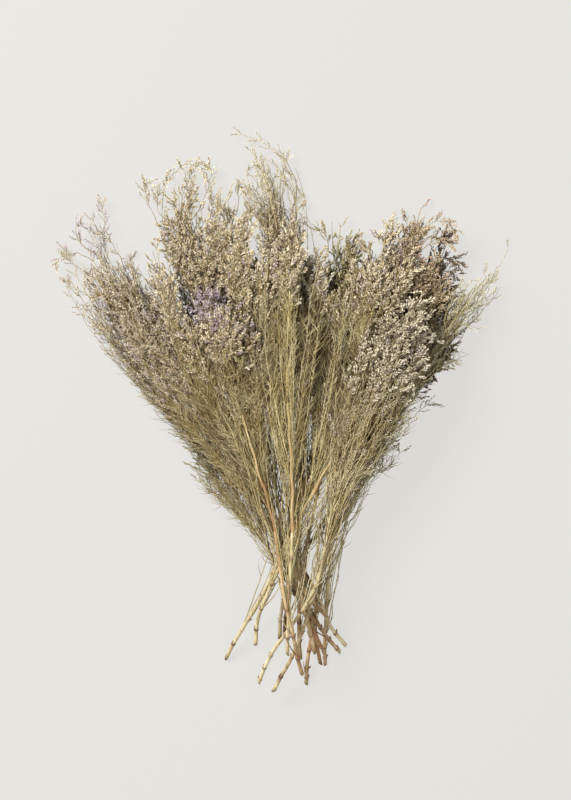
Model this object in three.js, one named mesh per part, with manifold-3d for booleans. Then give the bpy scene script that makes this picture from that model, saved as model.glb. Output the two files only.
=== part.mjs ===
// A loose bunch of dried statice (sea lavender): eighteen cut stems lying on a flat surface.
// Each stem is a woody stalk with ring nodes and a slanted cut end, and the spray that it carries: a thin
// rachis, its side branches and their forks, all of which end in plumes of small dry florets in whorls of
// three. Three stalks have lost their sprays. The stems are laid one after another, each resting on what
// already lies there, so that no two touch.
// Millimetres. +Z is up, the surface is z = 0, and +Y points from the cut ends to the flower heads.
import * as THREE from "three";
import { mergeVertices } from "three/addons/utils/BufferGeometryUtils.js";
import Module from "manifold-3d";

// ---- Driving dimensions ----------------------------------------------------------------------------
const STALK_RADIUS = { cut: 2.7, crown: 1.9 };
const STALK_SIDES = 5;
const STALK_STATION = 45; // distance between the rings of a plain length of stalk
const SHORTEST_PIECE = 1; // rings of a stalk closer than this are one ring
const NODE_SPACING = 68; // distance between the ring nodes of a stalk
const NODE_PLACE = { first: 0.25, last: 0.55 }; // where in its spacing a node lies
const NODE_HALF_LENGTH = 2.6;
const NODE_SWELL = 1.28; // times the stalk's radius
const BUD_SCAR = 1.75; // times the stalk's radius, on one side of a node
const CUT_SLANT = 0.7; // how far a cut end leans, times its radius

const RACHIS_RADIUS = { root: 1.7, tip: 0.8 };
const BRANCH_RADIUS = { root: 1.0, tip: 0.8 };
const FORK_RADIUS = { root: 0.7, tip: 0.65 };
const TWIG_SIDES = 3;
const TWIG_STATION = 52; // distance between the rings of a bare length of branch
const WHORL_PITCH = 13; // distance between the whorls of florets in a plume
const CALYX_RISE = 2; // from the foot of a whorl to its widest ring
const PLUME_FLATNESS = 0.42; // height of a plume over its width
const PLUME_OVERLAP = 0.5; // plumes of one spray grow into each other past this share of their radius
const FLORET_SHORTEST = 0.55; // of the plume's radius
const PLUME_FULLNESS = { foot: 0.55, tip: 0.5, gain: 1.6 }; // a plume tapers towards both of its ends
const BARE_SHARE = 0.3; // at least this share of a branch carries no florets
const FLORET_LEAN = 3; // how far a floret points forward
const POINTED_TIP = 3;
const FIRST_BRANCH = 0.03; // where the side branches leave the rachis, along its length
const LAST_BRANCH = 0.52;
const HEAD_ROUNDNESS = 0.2; // how much shorter than the rachis the outermost branches end
const HEAD_CORNER = 1.5; // the larger, the squarer the end of a head
const UNEVEN = { root: 0.04, tip: 0.14, side: 0.16 }; // how far branches stray from their regular places
const BRANCH_SWEEP = { leave: 0.15, aside: 0.55, follow: 0.42, bow: 1.02 };
const FORK_ROOT = { first: 0.32, last: 0.5 }; // where a forked twig leaves its branch, along its length
const FORK_TIP = { first: 0.66, last: 0.92 }; // beside which part of its branch it ends
const FORK_SPREAD = { first: 10, last: 15 }; // how far from the branch it ends
const FORK_SIZE = 0.75; // of its florets, times the branch's
const FORK_SWEEP = { leave: 0.2, aside: 0.8, follow: 0.3, bow: 1 };
const DIVISIONS = { stem: 160, branch: 24, fork: 16 }; // straight pieces that a route is measured in

const FACE_GAP = 0.8; // between a stalk's top and the foot of its spray
const CLEARANCE = 0.8; // between things that lie on each other
const ELBOW_ROOM = 1.2; // between things that lie beside each other
const FLOOR_SINK = 1.2; // how much the lowest strands are flattened by the surface
const CELL = 3; // the heap's height is known in square cells of this size
const SAMPLE = 3; // distance between the points of a strand that are laid on it
const RACHIS_ROOM = { beside: 7, below: 5 }; // kept free for its branches, half of which pass under it
const NO_ROOM = { beside: 0, below: 0 };
const ROOM_FROM = 0.33; // of a rachis's length, from where all of the room below it is kept
const FREE_ROOT = 22; // a branch may touch its own spray this far from its root
const STIFF_ROOT = 0.3; // share of its first length on which a rooted strand does not bend
const STEEPEST = 0.45; // rise or fall per length of a strand that bends over another
const SPRINGY_PASSES = 3;
const FIELD = { left: -330, bottom: -360, columns: 220, rows: 240 };

// ---- Layout, chosen by eye: routes seen from above, in the order in which the stems are laid ---------
// stalk: from the cut end to the crown; spray: on from the crown to the tip; spread: half the width of the
// head; bias: how far its branches lean to the right of the rachis, times the spread; plume: radius of its
// plumes; florets: length of the plume on a branch.
const STEMS = [
  {
    name: "low_right",
    stalk: [[25, -277], [29, -240], [33, -216], [39, -178], [45, -152]],
    spray: [[59, -112], [80, -66], [101, -14], [119, 38]],
    spread: 28, bias: -0.42, branches: 7, plume: 6.5, florets: 60, seed: 11,
    colour: "greygreen",
  },
  {
    name: "brown_right",
    stalk: [[44, -257], [46, -210], [48, -170], [50, -140]],
    spray: [[57, -95], [86, -30], [117, 48], [147, 112], [172, 184]],
    spread: 30, bias: 0, branches: 7, plume: 6.5, florets: 60, seed: 22,
    colour: "brown",
  },
  {
    name: "far_right",
    stalk: [[-2, -229], [3, -188], [15, -155], [34, -125], [48, -103]],
    spray: [[72, -68], [97, -24], [134, 32], [166, 80], [200, 114], [217, 139], [229, 162]],
    spread: 10, bias: -0.4, branches: 7, plume: 5.2, florets: 60, seed: 33,
    colour: "palegreen",
  },
  {
    name: "low_left",
    stalk: [[59, -244], [37, -214], [22, -193], [6, -166], [-5, -152]],
    spray: [[-21, -126], [-44, -84], [-69, -36], [-101, 14]],
    spread: 32, bias: 0.25, branches: 7, plume: 6.5, florets: 54, seed: 44,
    colour: "olive",
  },
  {
    name: "far_left",
    stalk: [[65, -237], [49, -214], [39, -190], [18, -157], [4, -136]],
    spray: [[-15, -108], [-51, -46], [-94, 22], [-134, 84], [-168, 140], [-191, 195]],
    spread: 36, bias: -0.42, branches: 7, plume: 6.5, florets: 60, seed: 55,
    colour: "mauve",
  },
  {
    name: "left_outer",
    stalk: [[40, -238], [27, -202], [12, -170], [3, -150]],
    spray: [[-14, -108], [-44, -46], [-86, 24], [-126, 86], [-162, 142]],
    spread: 29, bias: -0.35, branches: 7, plume: 6.5, florets: 60, seed: 66,
    colour: "mauve",
  },
  {
    name: "left_back",
    stalk: [[39, -254], [35, -230], [20, -187], [10, -160], [2, -138]],
    spray: [[-11, -95], [-34, -20], [-64, 66], [-84, 138], [-97, 241]],
    spread: 38, bias: -0.3, branches: 7, plume: 6.5, florets: 60, seed: 77,
    colour: "browncream",
  },
  {
    name: "top",
    stalk: [[33, -241], [29, -220], [22, -190], [16, -150]],
    spray: [[9, -90], [6, -10], [6, 80], [11, 150], [15, 204], [6, 244], [-16, 268], [-48, 280]],
    spread: 10, bias: -1.25, branches: 7, plume: 5.5, florets: 60, seed: 88,
    colour: "creamgreen",
  },
  {
    name: "left_inner",
    stalk: [[45, -206], [36, -194], [21, -175], [12, -156], [4, -132]],
    spray: [[-4, -90], [-16, -20], [-32, 60], [-45, 140], [-54, 218]],
    spread: 42, bias: -0.06, branches: 7, plume: 6.5, florets: 60, seed: 99,
    colour: "browncream",
  },
  {
    name: "right_back",
    stalk: [[-8, -281], [9, -250], [21, -218], [31, -182], [42, -148], [50, -126]],
    spray: [[60, -75], [79, 5], [104, 88], [125, 145], [141, 204]],
    spread: 38, bias: 0, branches: 7, plume: 6.5, florets: 60, seed: 122,
    colour: "tan",
  },
  {
    name: "centre_right",
    stalk: [[-56, -250], [-30, -205], [-19, -186], [-3, -150], [5, -128]],
    spray: [[20, -85], [32, -45], [41, 10], [49, 80], [54, 130], [60, 186]],
    spread: 40, bias: 0, branches: 7, plume: 6, florets: 60, seed: 133,
    colour: "olivecream",
  },
  {
    name: "right_front",
    stalk: [[-26, -235], [-21, -202], [-1, -154], [14, -116]],
    spray: [[30, -84], [50, -48], [64, -14], [76, 40], [90, 100], [108, 190]],
    spread: 33, bias: 0, branches: 7, plume: 6, florets: 60, seed: 144,
    colour: "cream",
  },
  {
    name: "taupe_right",
    stalk: [[-23, -272], [-8, -240], [7, -218], [31, -180], [40, -152]],
    spray: [[51, -95], [71, -40], [95, 20], [119, 70], [141, 108]],
    spread: 35, bias: 0, branches: 7, plume: 6.5, florets: 60, seed: 111,
    colour: "taupe",
  },
  {
    name: "centre_front",
    stalk: [[6, -241], [8, -210], [9, -170], [11, -120]],
    spray: [[11, -70], [9, -30], [6, 30], [7, 110], [12, 160], [17, 204]],
    spread: 34, bias: 0, branches: 7, plume: 6, florets: 60, seed: 155,
    colour: "cream",
  },
  {
    name: "left_front",
    stalk: [[20, -260], [13, -224], [3, -184], [-3, -142], [-6, -120]],
    spray: [[-10, -98], [-22, -60], [-33, -22], [-46, 20], [-59, 70], [-76, 128]],
    spread: 32, bias: 0, branches: 7, plume: 6.5, florets: 60, seed: 166,
    colour: "lavender",
  },
];
// Stalks whose sprays have broken off, which lie below the others.
const BARE_STALKS = [
  { name: "bare_right", stalk: [[32, -243], [24, -180], [25, -140], [34, -100], [46, -40]], seed: 177 },
  { name: "bare_middle", stalk: [[19, -251], [18, -195], [16, -145], [19, -95], [24, -30]], seed: 188 },
  { name: "bare_left", stalk: [[3, -226], [8, -185], [3, -140], [-8, -100], [-24, -40]], seed: 199 },
];
const CENTRE = { x: 8.3, y: -0.5 }; // the middle of the bunch in the layout above, which becomes the origin

const COLOURS = {
  stalk: 0xc2a878,
  greygreen: 0x9b957a,
  brown: 0x8a735c,
  palegreen: 0xb9b391,
  creamgreen: 0xbdb492,
  olive: 0x8f8862,
  mauve: 0xa89a86,
  browncream: 0xb5a385,
  taupe: 0x8d8474,
  cream: 0xc9bd9f,
  olivecream: 0xaea47c,
  tan: 0xb59c7c,
  lavender: 0xa8a0a6,
};

const wasm = await Module();
wasm.setup();
const UP = new THREE.Vector3(0, 0, 1);

/** A generator of numbers from 0 to 1 that always gives the same bunch. */
function randomFrom(seed) {
  let state = seed;
  return () => {
    state = (state * 16807) % 2147483647;
    return state / 2147483647;
  };
}

const mix = (a, b, share) => a + (b - a) * share;

/** The heights of what already lies in the field, cell by cell. */
class Heap {
  constructor(height) {
    this.tops = new Float64Array(FIELD.columns * FIELD.rows).fill(height);
  }

  /** Calls visit with the index of each cell that a disc touches. */
  eachCell(x, y, radius, visit) {
    const column = (place) => Math.floor((place - FIELD.left) / CELL);
    const row = (place) => Math.floor((place - FIELD.bottom) / CELL);
    for (let r = row(y - radius); r <= row(y + radius); r += 1) {
      const low = FIELD.bottom + r * CELL;
      const dy = Math.max(low - y, y - low - CELL, 0);
      for (let c = column(x - radius); c <= column(x + radius); c += 1) {
        const left = FIELD.left + c * CELL;
        const dx = Math.max(left - x, x - left - CELL, 0);
        if (dx * dx + dy * dy < radius * radius) visit(r * FIELD.columns + c);
      }
    }
  }

  under(x, y, radius) {
    let highest = -Infinity;
    this.eachCell(x, y, radius, (cell) => {
      highest = Math.max(highest, this.tops[cell]);
    });
    return highest;
  }

  raise(x, y, radius, height) {
    this.eachCell(x, y, radius, (cell) => {
      this.tops[cell] = Math.max(this.tops[cell], height);
    });
  }
}

/** A curve seen from above, as points with their distance from its start. */
function routeOf(curve, divisions) {
  const points = curve.getPoints(divisions);
  const distances = [0];
  for (let i = 1; i < points.length; i += 1) {
    distances.push(distances[i - 1] + points[i].distanceTo(points[i - 1]));
  }
  return { points, distances, length: distances.at(-1) };
}

/** The point of a route at a distance from its start, and the direction there. */
function along(route, distance) {
  const last = route.points.length - 2;
  let i = 0;
  while (i < last && route.distances[i + 1] < distance) i += 1;
  const span = route.distances[i + 1] - route.distances[i];
  const share = (distance - route.distances[i]) / span;
  const a = route.points[i];
  const b = route.points[i + 1];
  return {
    x: mix(a.x, b.x, share),
    y: mix(a.y, b.y, share),
    dx: (b.x - a.x) / span,
    dy: (b.y - a.y) / span,
  };
}

/** A point forward and to the right of a place on a route. */
function beside(at, forward, right) {
  return new THREE.Vector3(at.x + at.dx * forward + at.dy * right, at.y + at.dy * forward - at.dx * right, 0);
}

/** Calls visit with points close together along a strand, and the share of the way to the next station. */
function eachSample(stations, visit) {
  for (let k = 0; k + 1 < stations.length; k += 1) {
    const a = stations[k];
    const b = stations[k + 1];
    const steps = Math.ceil((b.s - a.s) / SAMPLE);
    for (let j = 0; j <= steps; j += 1) {
      const share = j / steps;
      visit(k, share, {
        x: mix(a.x, b.x, share),
        y: mix(a.y, b.y, share),
        s: mix(a.s, b.s, share),
        room: mix(a.room, b.room, share),
        lift: mix(a.lift, b.lift, share),
        radius: Math.max(a.radius, b.radius),
        half: Math.max(a.radius * a.flatness, b.radius * b.flatness),
      });
    }
  }
}

/** The lowest that a strand may pass at points along it, where it bends no more steeply than it can. */
function limitsOf(stations, heap, own, rootHeight) {
  const limits = [];
  eachSample(stations, (k, share, at) => {
    let below = heap.under(at.x, at.y, Math.max(at.room, at.radius + ELBOW_ROOM));
    if (own && at.s > FREE_ROOT) below = Math.max(below, own.under(at.x, at.y, at.radius + ELBOW_ROOM));
    limits.push({ k, share, s: at.s, z: below + at.half + CLEARANCE + at.lift });
  });
  if (rootHeight !== undefined) limits[0].z = rootHeight;
  for (let i = 1; i < limits.length; i += 1) {
    const fall = STEEPEST * (limits[i].s - limits[i - 1].s);
    limits[i].z = Math.max(limits[i].z, limits[i - 1].z - fall);
  }
  for (let i = limits.length - 2; i >= (rootHeight === undefined ? 0 : 1); i -= 1) {
    const fall = STEEPEST * (limits[i + 1].s - limits[i].s);
    limits[i].z = Math.max(limits[i].z, limits[i + 1].z - fall);
  }
  return limits;
}

/** Gives each station the height at which its strand rests on the heap; a rooted strand keeps its first. */
function lay(stations, heap, own, rootHeight) {
  const limits = limitsOf(stations, heap, own, rootHeight);
  const first = rootHeight === undefined ? 0 : 1;
  const heights = stations.map(() => -Infinity);
  if (first === 1) heights[0] = rootHeight;
  for (const { k, share, z } of limits) {
    if (share === 0 && k >= first) heights[k] = Math.max(heights[k], z);
    if (share === 1) heights[k + 1] = Math.max(heights[k + 1], z);
    if (k < first && share > STIFF_ROOT) heights[1] = Math.max(heights[1], z);
  }
  for (const { k, share, z } of limits) {
    const shortage = z - mix(heights[k], heights[k + 1], share);
    if (k >= first && shortage > 0) {
      heights[k] += shortage;
      heights[k + 1] += shortage;
    }
  }
  for (let pass = 0; pass < SPRINGY_PASSES; pass += 1) {
    for (let k = 1; k + 1 < stations.length; k += 1) {
      const share = (stations[k].s - stations[k - 1].s) / (stations[k + 1].s - stations[k - 1].s);
      heights[k] = Math.max(heights[k], mix(heights[k - 1], heights[k + 1], share));
    }
  }
  stations.forEach((station, k) => {
    station.z = heights[k];
  });
}

/** Adds a laid strand to a heap, at a share of its width. */
function stamp(stations, heap, width) {
  eachSample(stations, (k, share, at) => {
    const z = mix(stations[k].z, stations[k + 1].z, share);
    heap.raise(at.x, at.y, at.radius * width, z + at.half);
  });
}

/** One strand: a cylinder bent along its stations, where each row of its vertices is one station's ring. */
function strandGeometry(stations, sides) {
  const rows = stations.length - 1;
  const geometry = new THREE.CylinderGeometry(1, 1, 1, sides, rows);
  geometry.deleteAttribute("normal");
  geometry.deleteAttribute("uv");
  const centres = stations.map((s) => new THREE.Vector3(s.x, s.y, s.z));
  const position = geometry.getAttribute("position");
  for (let i = 0; i < position.count; i += 1) {
    const row = Math.round((0.5 - position.getY(i)) * rows);
    const station = stations[row];
    const forward = new THREE.Vector3();
    forward.subVectors(centres[Math.min(row + 1, rows)], centres[Math.max(row - 1, 0)]).normalize();
    const across = new THREE.Vector3().crossVectors(forward, UP).normalize();
    const above = new THREE.Vector3().crossVectors(across, forward);
    const isCapCentre = Math.hypot(position.getX(i), position.getZ(i)) < 0.5;
    const turn = Math.atan2(position.getX(i), position.getZ(i)) / (2 * Math.PI);
    const column = Math.round(turn * sides + sides) % sides;
    const angle = (column / sides) * 2 * Math.PI + station.twist;
    const bulge = isCapCentre ? 0 : station.radius * station.bulges[column];
    const push = isCapCentre ? station.point : station.leans[column];
    const point = centres[row].clone();
    point.addScaledVector(across, Math.sin(angle) * bulge);
    point.addScaledVector(above, -Math.cos(angle) * bulge * station.flatness);
    point.addScaledVector(forward, push);
    position.setXYZ(i, point.x, point.y, point.z);
  }
  return mergeVertices(geometry, 1e-4);
}

function solidOf(geometry) {
  const mesh = new wasm.Mesh({
    numProp: 3,
    vertProperties: geometry.getAttribute("position").array,
    triVerts: new Uint32Array(geometry.index.array),
  });
  return new wasm.Manifold(mesh);
}

/** The strands of one node joined, and flattened where they lie on the surface. */
function joinedMesh(name, colour, geometries) {
  const joined = geometries.map(solidOf).reduce((whole, next) => whole.add(next));
  const made = joined.trimByPlane([0, 0, 1], 0).getMesh();
  const geometry = new THREE.BufferGeometry();
  geometry.setAttribute("position", new THREE.BufferAttribute(made.vertProperties, 3));
  geometry.setIndex(new THREE.BufferAttribute(made.triVerts, 1));
  const material = new THREE.MeshStandardMaterial({ color: colour, roughness: 0.9, metalness: 0 });
  const mesh = new THREE.Mesh(geometry, material);
  mesh.name = name;
  return mesh;
}

const smooth = (sides) => new Array(sides).fill(1);
const still = (sides) => new Array(sides).fill(0);

/** The stations of a stalk, with a swollen ring at each node and a bud scar on one side of it. */
function stalkStations(route, length, random) {
  const stops = [];
  const pieces = Math.round(length / STALK_STATION);
  for (let i = 0; i <= pieces; i += 1) stops.push({ s: (length * i) / pieces, swell: 1, scar: -1 });
  const nodes = Math.floor(length / NODE_SPACING);
  for (let i = 0; i < nodes; i += 1) {
    const middle = NODE_SPACING * (i + mix(NODE_PLACE.first, NODE_PLACE.last, random()));
    const scar = Math.floor(random() * STALK_SIDES);
    stops.push({ s: middle - NODE_HALF_LENGTH, swell: 1, scar: -1 });
    stops.push({ s: middle, swell: NODE_SWELL, scar });
    stops.push({ s: middle + NODE_HALF_LENGTH, swell: 1, scar: -1 });
  }
  stops.sort((a, b) => a.s - b.s);
  const clear = stops.filter((stop, i) => i === 0 || stop.s - stops[i - 1].s > SHORTEST_PIECE);
  return clear.map((stop) => {
    const radius = mix(STALK_RADIUS.cut, STALK_RADIUS.crown, stop.s / length) * stop.swell;
    const isCut = stop.s === 0;
    const bulges = smooth(STALK_SIDES);
    if (stop.scar >= 0) bulges[stop.scar] = BUD_SCAR / NODE_SWELL;
    const leans = still(STALK_SIDES).map((_, side) => {
      const angle = (side / STALK_SIDES) * 2 * Math.PI;
      return isCut ? Math.sin(angle) * radius * CUT_SLANT : 0;
    });
    return {
      ...along(route, stop.s), s: stop.s, radius, room: radius, lift: 0, flatness: 1,
      twist: 0, point: 0, bulges, leans,
    };
  });
}

/** The stations of a bare branch that ends in a plume of florets. */
function plumeStations(route, from, thin, plume, room, random) {
  const length = route.length - from;
  const stations = [];
  const add = (s, radius, twist, flatness, bulges, leans) => {
    stations.push({
      ...along(route, from + s), s, radius, room: Math.max(room.beside, radius),
      lift: room.below * Math.min(1, s / (ROOM_FROM * length)), flatness, twist, point: 0, bulges, leans,
    });
  };
  const bareLength = Math.max(BARE_SHARE * length, length - plume.length);
  const bare = Math.max(1, Math.round(bareLength / TWIG_STATION));
  for (let i = 0; i < bare; i += 1) {
    const radius = mix(thin.root, thin.tip, i / bare);
    add((bareLength * i) / bare, radius, 0, 1, smooth(TWIG_SIDES), still(TWIG_SIDES));
  }
  const whorls = Math.max(2, Math.round((length - bareLength) / WHORL_PITCH));
  for (let i = 0; i < whorls; i += 1) {
    const share = i / whorls;
    const opening = PLUME_FULLNESS.foot + PLUME_FULLNESS.gain * share;
    const closing = PLUME_FULLNESS.tip + PLUME_FULLNESS.gain * (1 - share);
    const reach = plume.radius * Math.min(1, opening, closing);
    const foot = bareLength + (length - bareLength) * share;
    const twist = (i * Math.PI) / TWIG_SIDES;
    const bulges = smooth(TWIG_SIDES).map(() => mix(FLORET_SHORTEST, 1, random()));
    const leans = still(TWIG_SIDES).fill(FLORET_LEAN);
    add(foot, thin.tip, twist, 1, smooth(TWIG_SIDES), still(TWIG_SIDES));
    add(foot + CALYX_RISE, reach, twist + Math.PI / TWIG_SIDES, PLUME_FLATNESS, bulges, leans);
  }
  add(length, thin.tip, (whorls * Math.PI) / TWIG_SIDES, 1, smooth(TWIG_SIDES), still(TWIG_SIDES));
  stations.at(-1).point = POINTED_TIP;
  return stations;
}

/** A place inside a laid strand, with the direction of its route there. */
function rootOn(route, distance, stations, s) {
  let k = 0;
  while (k + 2 < stations.length && stations[k + 1].s < s) k += 1;
  const a = stations[k];
  const b = stations[k + 1];
  const share = (s - a.s) / (b.s - a.s);
  const { dx, dy } = along(route, distance);
  return { x: mix(a.x, b.x, share), y: mix(a.y, b.y, share), z: mix(a.z, b.z, share), dx, dy };
}

/** Where each side branch ends across the head, from -1 to 1: the lower layer first, each from outside in. */
function branchOffsets(count) {
  const lower = Math.ceil(count / 2);
  const offsets = [];
  for (const size of [lower, count - lower]) {
    for (let j = 0; j < size; j += 1) {
      const outward = 1 - (2 * Math.floor(j / 2) + 1) / size;
      offsets.push(j % 2 === 0 ? outward : -outward);
    }
  }
  return { offsets, lower };
}

/** The route of a twig that leaves its carrier at an angle, and bends to run beside it. */
function sweptRoute(carrier, root, from, to, sideways, sweep, divisions) {
  const reach = to - from;
  const curve = new THREE.CubicBezierCurve3(
    beside(root, 0, 0),
    beside(root, sweep.leave * reach, sweep.aside * sideways),
    beside(along(carrier, to - sweep.follow * reach), 0, sweep.bow * sideways),
    beside(along(carrier, to), 0, sideways),
  );
  return routeOf(curve, divisions);
}

/** The route of a side branch of a spray, and the height of its root. */
function branchRoute(stem, route, crown, rachis, offset, random) {
  const outward = Math.abs(offset);
  const length = route.length - crown;
  const rootAt = mix(LAST_BRANCH, FIRST_BRANCH, outward) + UNEVEN.root * (random() - 0.5);
  const roundedTip = 1 - HEAD_ROUNDNESS * outward ** HEAD_CORNER;
  const tipAt = Math.min(1, roundedTip - UNEVEN.tip * random());
  const sideways = stem.spread * (offset + stem.bias + UNEVEN.side * (random() - 0.5));
  const from = crown + rootAt * length;
  const to = crown + tipAt * length;
  const root = rootOn(route, from, rachis, from - crown);
  return {
    route: sweptRoute(route, root, from, to, sideways, BRANCH_SWEEP, DIVISIONS.branch),
    rootHeight: root.z,
  };
}

/** The route of the twig that forks from a side branch, to either side of it, and the height of its root. */
function forkRoute(branch, stations, random) {
  const rootAt = branch.length * mix(FORK_ROOT.first, FORK_ROOT.last, random());
  const tipAt = branch.length * mix(FORK_TIP.first, FORK_TIP.last, random());
  const side = random() < 0.5 ? -1 : 1;
  const sideways = side * mix(FORK_SPREAD.first, FORK_SPREAD.last, random());
  const root = rootOn(branch, rootAt, stations, rootAt);
  return {
    route: sweptRoute(branch, root, rootAt, tipAt, sideways, FORK_SWEEP, DIVISIONS.fork),
    rootHeight: root.z,
  };
}

/** A smooth route through places of the layout. */
function stemRoute(places) {
  const corners = places.map(([x, y]) => new THREE.Vector3(x - CENTRE.x, y - CENTRE.y, 0));
  return routeOf(new THREE.CatmullRomCurve3(corners, false, "catmullrom", 0.5), DIVISIONS.stem);
}

/** Lays a stalk that carries nothing on the heap, and gives its mesh. */
function layBareStalk(bare, heap) {
  const route = stemRoute(bare.stalk);
  const stalk = stalkStations(route, route.length, randomFrom(bare.seed));
  lay(stalk, heap);
  stamp(stalk, heap, 1);
  return joinedMesh(`stalk_${bare.name}`, COLOURS.stalk, [strandGeometry(stalk, STALK_SIDES)]);
}

/** Lays one stem on the heap, and gives the meshes of its stalk and its spray. */
function layStem(stem, heap) {
  const random = randomFrom(stem.seed);
  const places = [...stem.stalk, ...stem.spray];
  const route = stemRoute(places);
  const crownPoint = Math.round((DIVISIONS.stem * (stem.stalk.length - 1)) / (places.length - 1));
  const crown = route.distances[crownPoint];

  const stalk = stalkStations(route, crown - FACE_GAP, random);
  const plume = { radius: stem.plume, length: stem.florets };
  const forkPlume = { radius: FORK_SIZE * stem.plume, length: FORK_SIZE * stem.florets };
  const rachis = plumeStations(route, crown, RACHIS_RADIUS, plume, RACHIS_ROOM, random);
  const whole = [...stalk, ...rachis.map((station) => ({ ...station, s: station.s + crown }))];
  lay(whole, heap);
  whole.forEach((station, k) => {
    const piece = k < stalk.length ? stalk[k] : rachis[k - stalk.length];
    piece.z = station.z;
  });

  const own = new Heap(-Infinity);
  const strands = [rachis];
  const { offsets, lower } = branchOffsets(stem.branches);
  offsets.forEach((offset, i) => {
    if (i === lower) stamp(rachis, own, 1);
    const branch = branchRoute(stem, route, crown, rachis, offset, random);
    const stations = plumeStations(branch.route, 0, BRANCH_RADIUS, plume, NO_ROOM, random);
    lay(stations, heap, own, branch.rootHeight);
    stamp(stations, own, PLUME_OVERLAP);
    strands.push(stations);
    if (i % 2 === 1) return; // every other branch forks
    const fork = forkRoute(branch.route, stations, random);
    const twig = plumeStations(fork.route, 0, FORK_RADIUS, forkPlume, NO_ROOM, random);
    lay(twig, heap, own, fork.rootHeight);
    stamp(twig, own, PLUME_OVERLAP);
    strands.push(twig);
  });
  for (const strand of [stalk, ...strands]) stamp(strand, heap, 1);
  const twigs = strands.map((strand) => strandGeometry(strand, TWIG_SIDES));
  return [
    joinedMesh(`stalk_${stem.name}`, COLOURS.stalk, [strandGeometry(stalk, STALK_SIDES)]),
    joinedMesh(`spray_${stem.name}`, COLOURS[stem.colour], twigs),
  ];
}

const bunch = new THREE.Group();
bunch.name = "dried_statice";
const heap = new Heap(-FLOOR_SINK);
for (const bare of BARE_STALKS) bunch.add(layBareStalk(bare, heap));
for (const stem of STEMS) bunch.add(...layStem(stem, heap));

export default bunch;
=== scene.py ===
"""A loose bunch of dried statice, lying on a pale surface and seen from straight above.

The frame holds eighteen stalks and fifteen sprays as plain solids. This script lays the same stems again by
the same rules, so that every branch is where its solid is, and grows the fine parts on them: smooth stalks
with ring nodes and cut ends, hair-thin twigs, and thousands of small papery florets.
Lengths are in millimetres until a mesh is made.
"""
import math
from bisect import bisect_left

import bpy
import numpy as np
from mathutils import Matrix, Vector


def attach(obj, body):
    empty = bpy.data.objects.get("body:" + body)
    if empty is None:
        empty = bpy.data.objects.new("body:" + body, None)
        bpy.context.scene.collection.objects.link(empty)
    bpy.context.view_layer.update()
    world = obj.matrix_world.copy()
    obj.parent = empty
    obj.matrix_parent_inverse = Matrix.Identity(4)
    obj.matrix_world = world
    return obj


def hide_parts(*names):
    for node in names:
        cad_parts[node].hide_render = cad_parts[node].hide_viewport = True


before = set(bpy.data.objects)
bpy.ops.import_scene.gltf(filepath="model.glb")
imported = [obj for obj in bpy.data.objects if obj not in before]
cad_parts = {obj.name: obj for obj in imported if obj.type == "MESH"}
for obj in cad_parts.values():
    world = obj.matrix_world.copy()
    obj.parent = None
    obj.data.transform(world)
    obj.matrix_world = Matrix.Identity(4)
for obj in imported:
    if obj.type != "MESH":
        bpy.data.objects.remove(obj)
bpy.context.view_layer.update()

MM = 0.001
UP = np.array([0.0, 0.0, 1.0])

# ---- Measures shared with the solids -------------------------------
STALK_RADIUS = (2.7, 1.9)  # at the cut end and the crown
STALK_STATION = 45
SHORTEST_PIECE = 1
NODE_SPACING = 68
NODE_PLACE = (0.25, 0.55)
NODE_HALF_LENGTH = 2.6
NODE_SWELL = 1.28
CUT_SLANT = 0.7
RACHIS_RADIUS = (1.7, 0.8)  # at the root and the tip
BRANCH_RADIUS = (1.0, 0.8)
FORK_RADIUS = (0.7, 0.65)
TWIG_SIDES = 3
TWIG_STATION = 52
WHORL_PITCH = 13
CALYX_RISE = 2
PLUME_FLATNESS = 0.42
PLUME_OVERLAP = 0.5
PLUME_FULLNESS = {"foot": 0.55, "tip": 0.5, "gain": 1.6}
BARE_SHARE = 0.3
FIRST_BRANCH = 0.03
LAST_BRANCH = 0.52
HEAD_ROUNDNESS = 0.2
HEAD_CORNER = 1.5
UNEVEN = {"root": 0.04, "tip": 0.14, "side": 0.16}
BRANCH_SWEEP = {"leave": 0.15, "aside": 0.55, "follow": 0.42, "bow": 1.02}
FORK_ROOT = (0.32, 0.5)
FORK_TIP = (0.66, 0.92)
FORK_SPREAD = (10, 15)
FORK_SIZE = 0.75
FORK_SWEEP = {"leave": 0.2, "aside": 0.8, "follow": 0.3, "bow": 1}
DIVISIONS = {"stem": 160, "branch": 24, "fork": 16}
FACE_GAP = 0.8
CLEARANCE = 0.8
ELBOW_ROOM = 1.2
FLOOR_SINK = 1.2
CELL = 3
SAMPLE = 3
RACHIS_ROOM = {"beside": 7, "below": 5}
NO_ROOM = {"beside": 0, "below": 0}
ROOM_FROM = 0.33
FREE_ROOT = 22
STIFF_ROOT = 0.3
STEEPEST = 0.45
SPRINGY_PASSES = 3
FIELD = {"left": -330, "bottom": -360, "columns": 220, "rows": 240}
CENTRE = (8.3, -0.5)

# ---- Layout: the stems in the order in which they are laid ---------
BRANCHES = 7  # on each spray


# seed: of the random draws; spread, bias: how wide the head is, and how far it leans aside; stalk, spray:
# the route; plume, florets: the radius and the length of the plume at the end of each branch
def stem_of(name, kind, seed, spread, stalk, spray, bias=0, plume=6.5, florets=60):
    return {"name": name, "kind": kind, "seed": seed, "spread": spread, "stalk": stalk, "spray": spray,
            "bias": bias, "plume": plume, "florets": florets}


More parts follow.
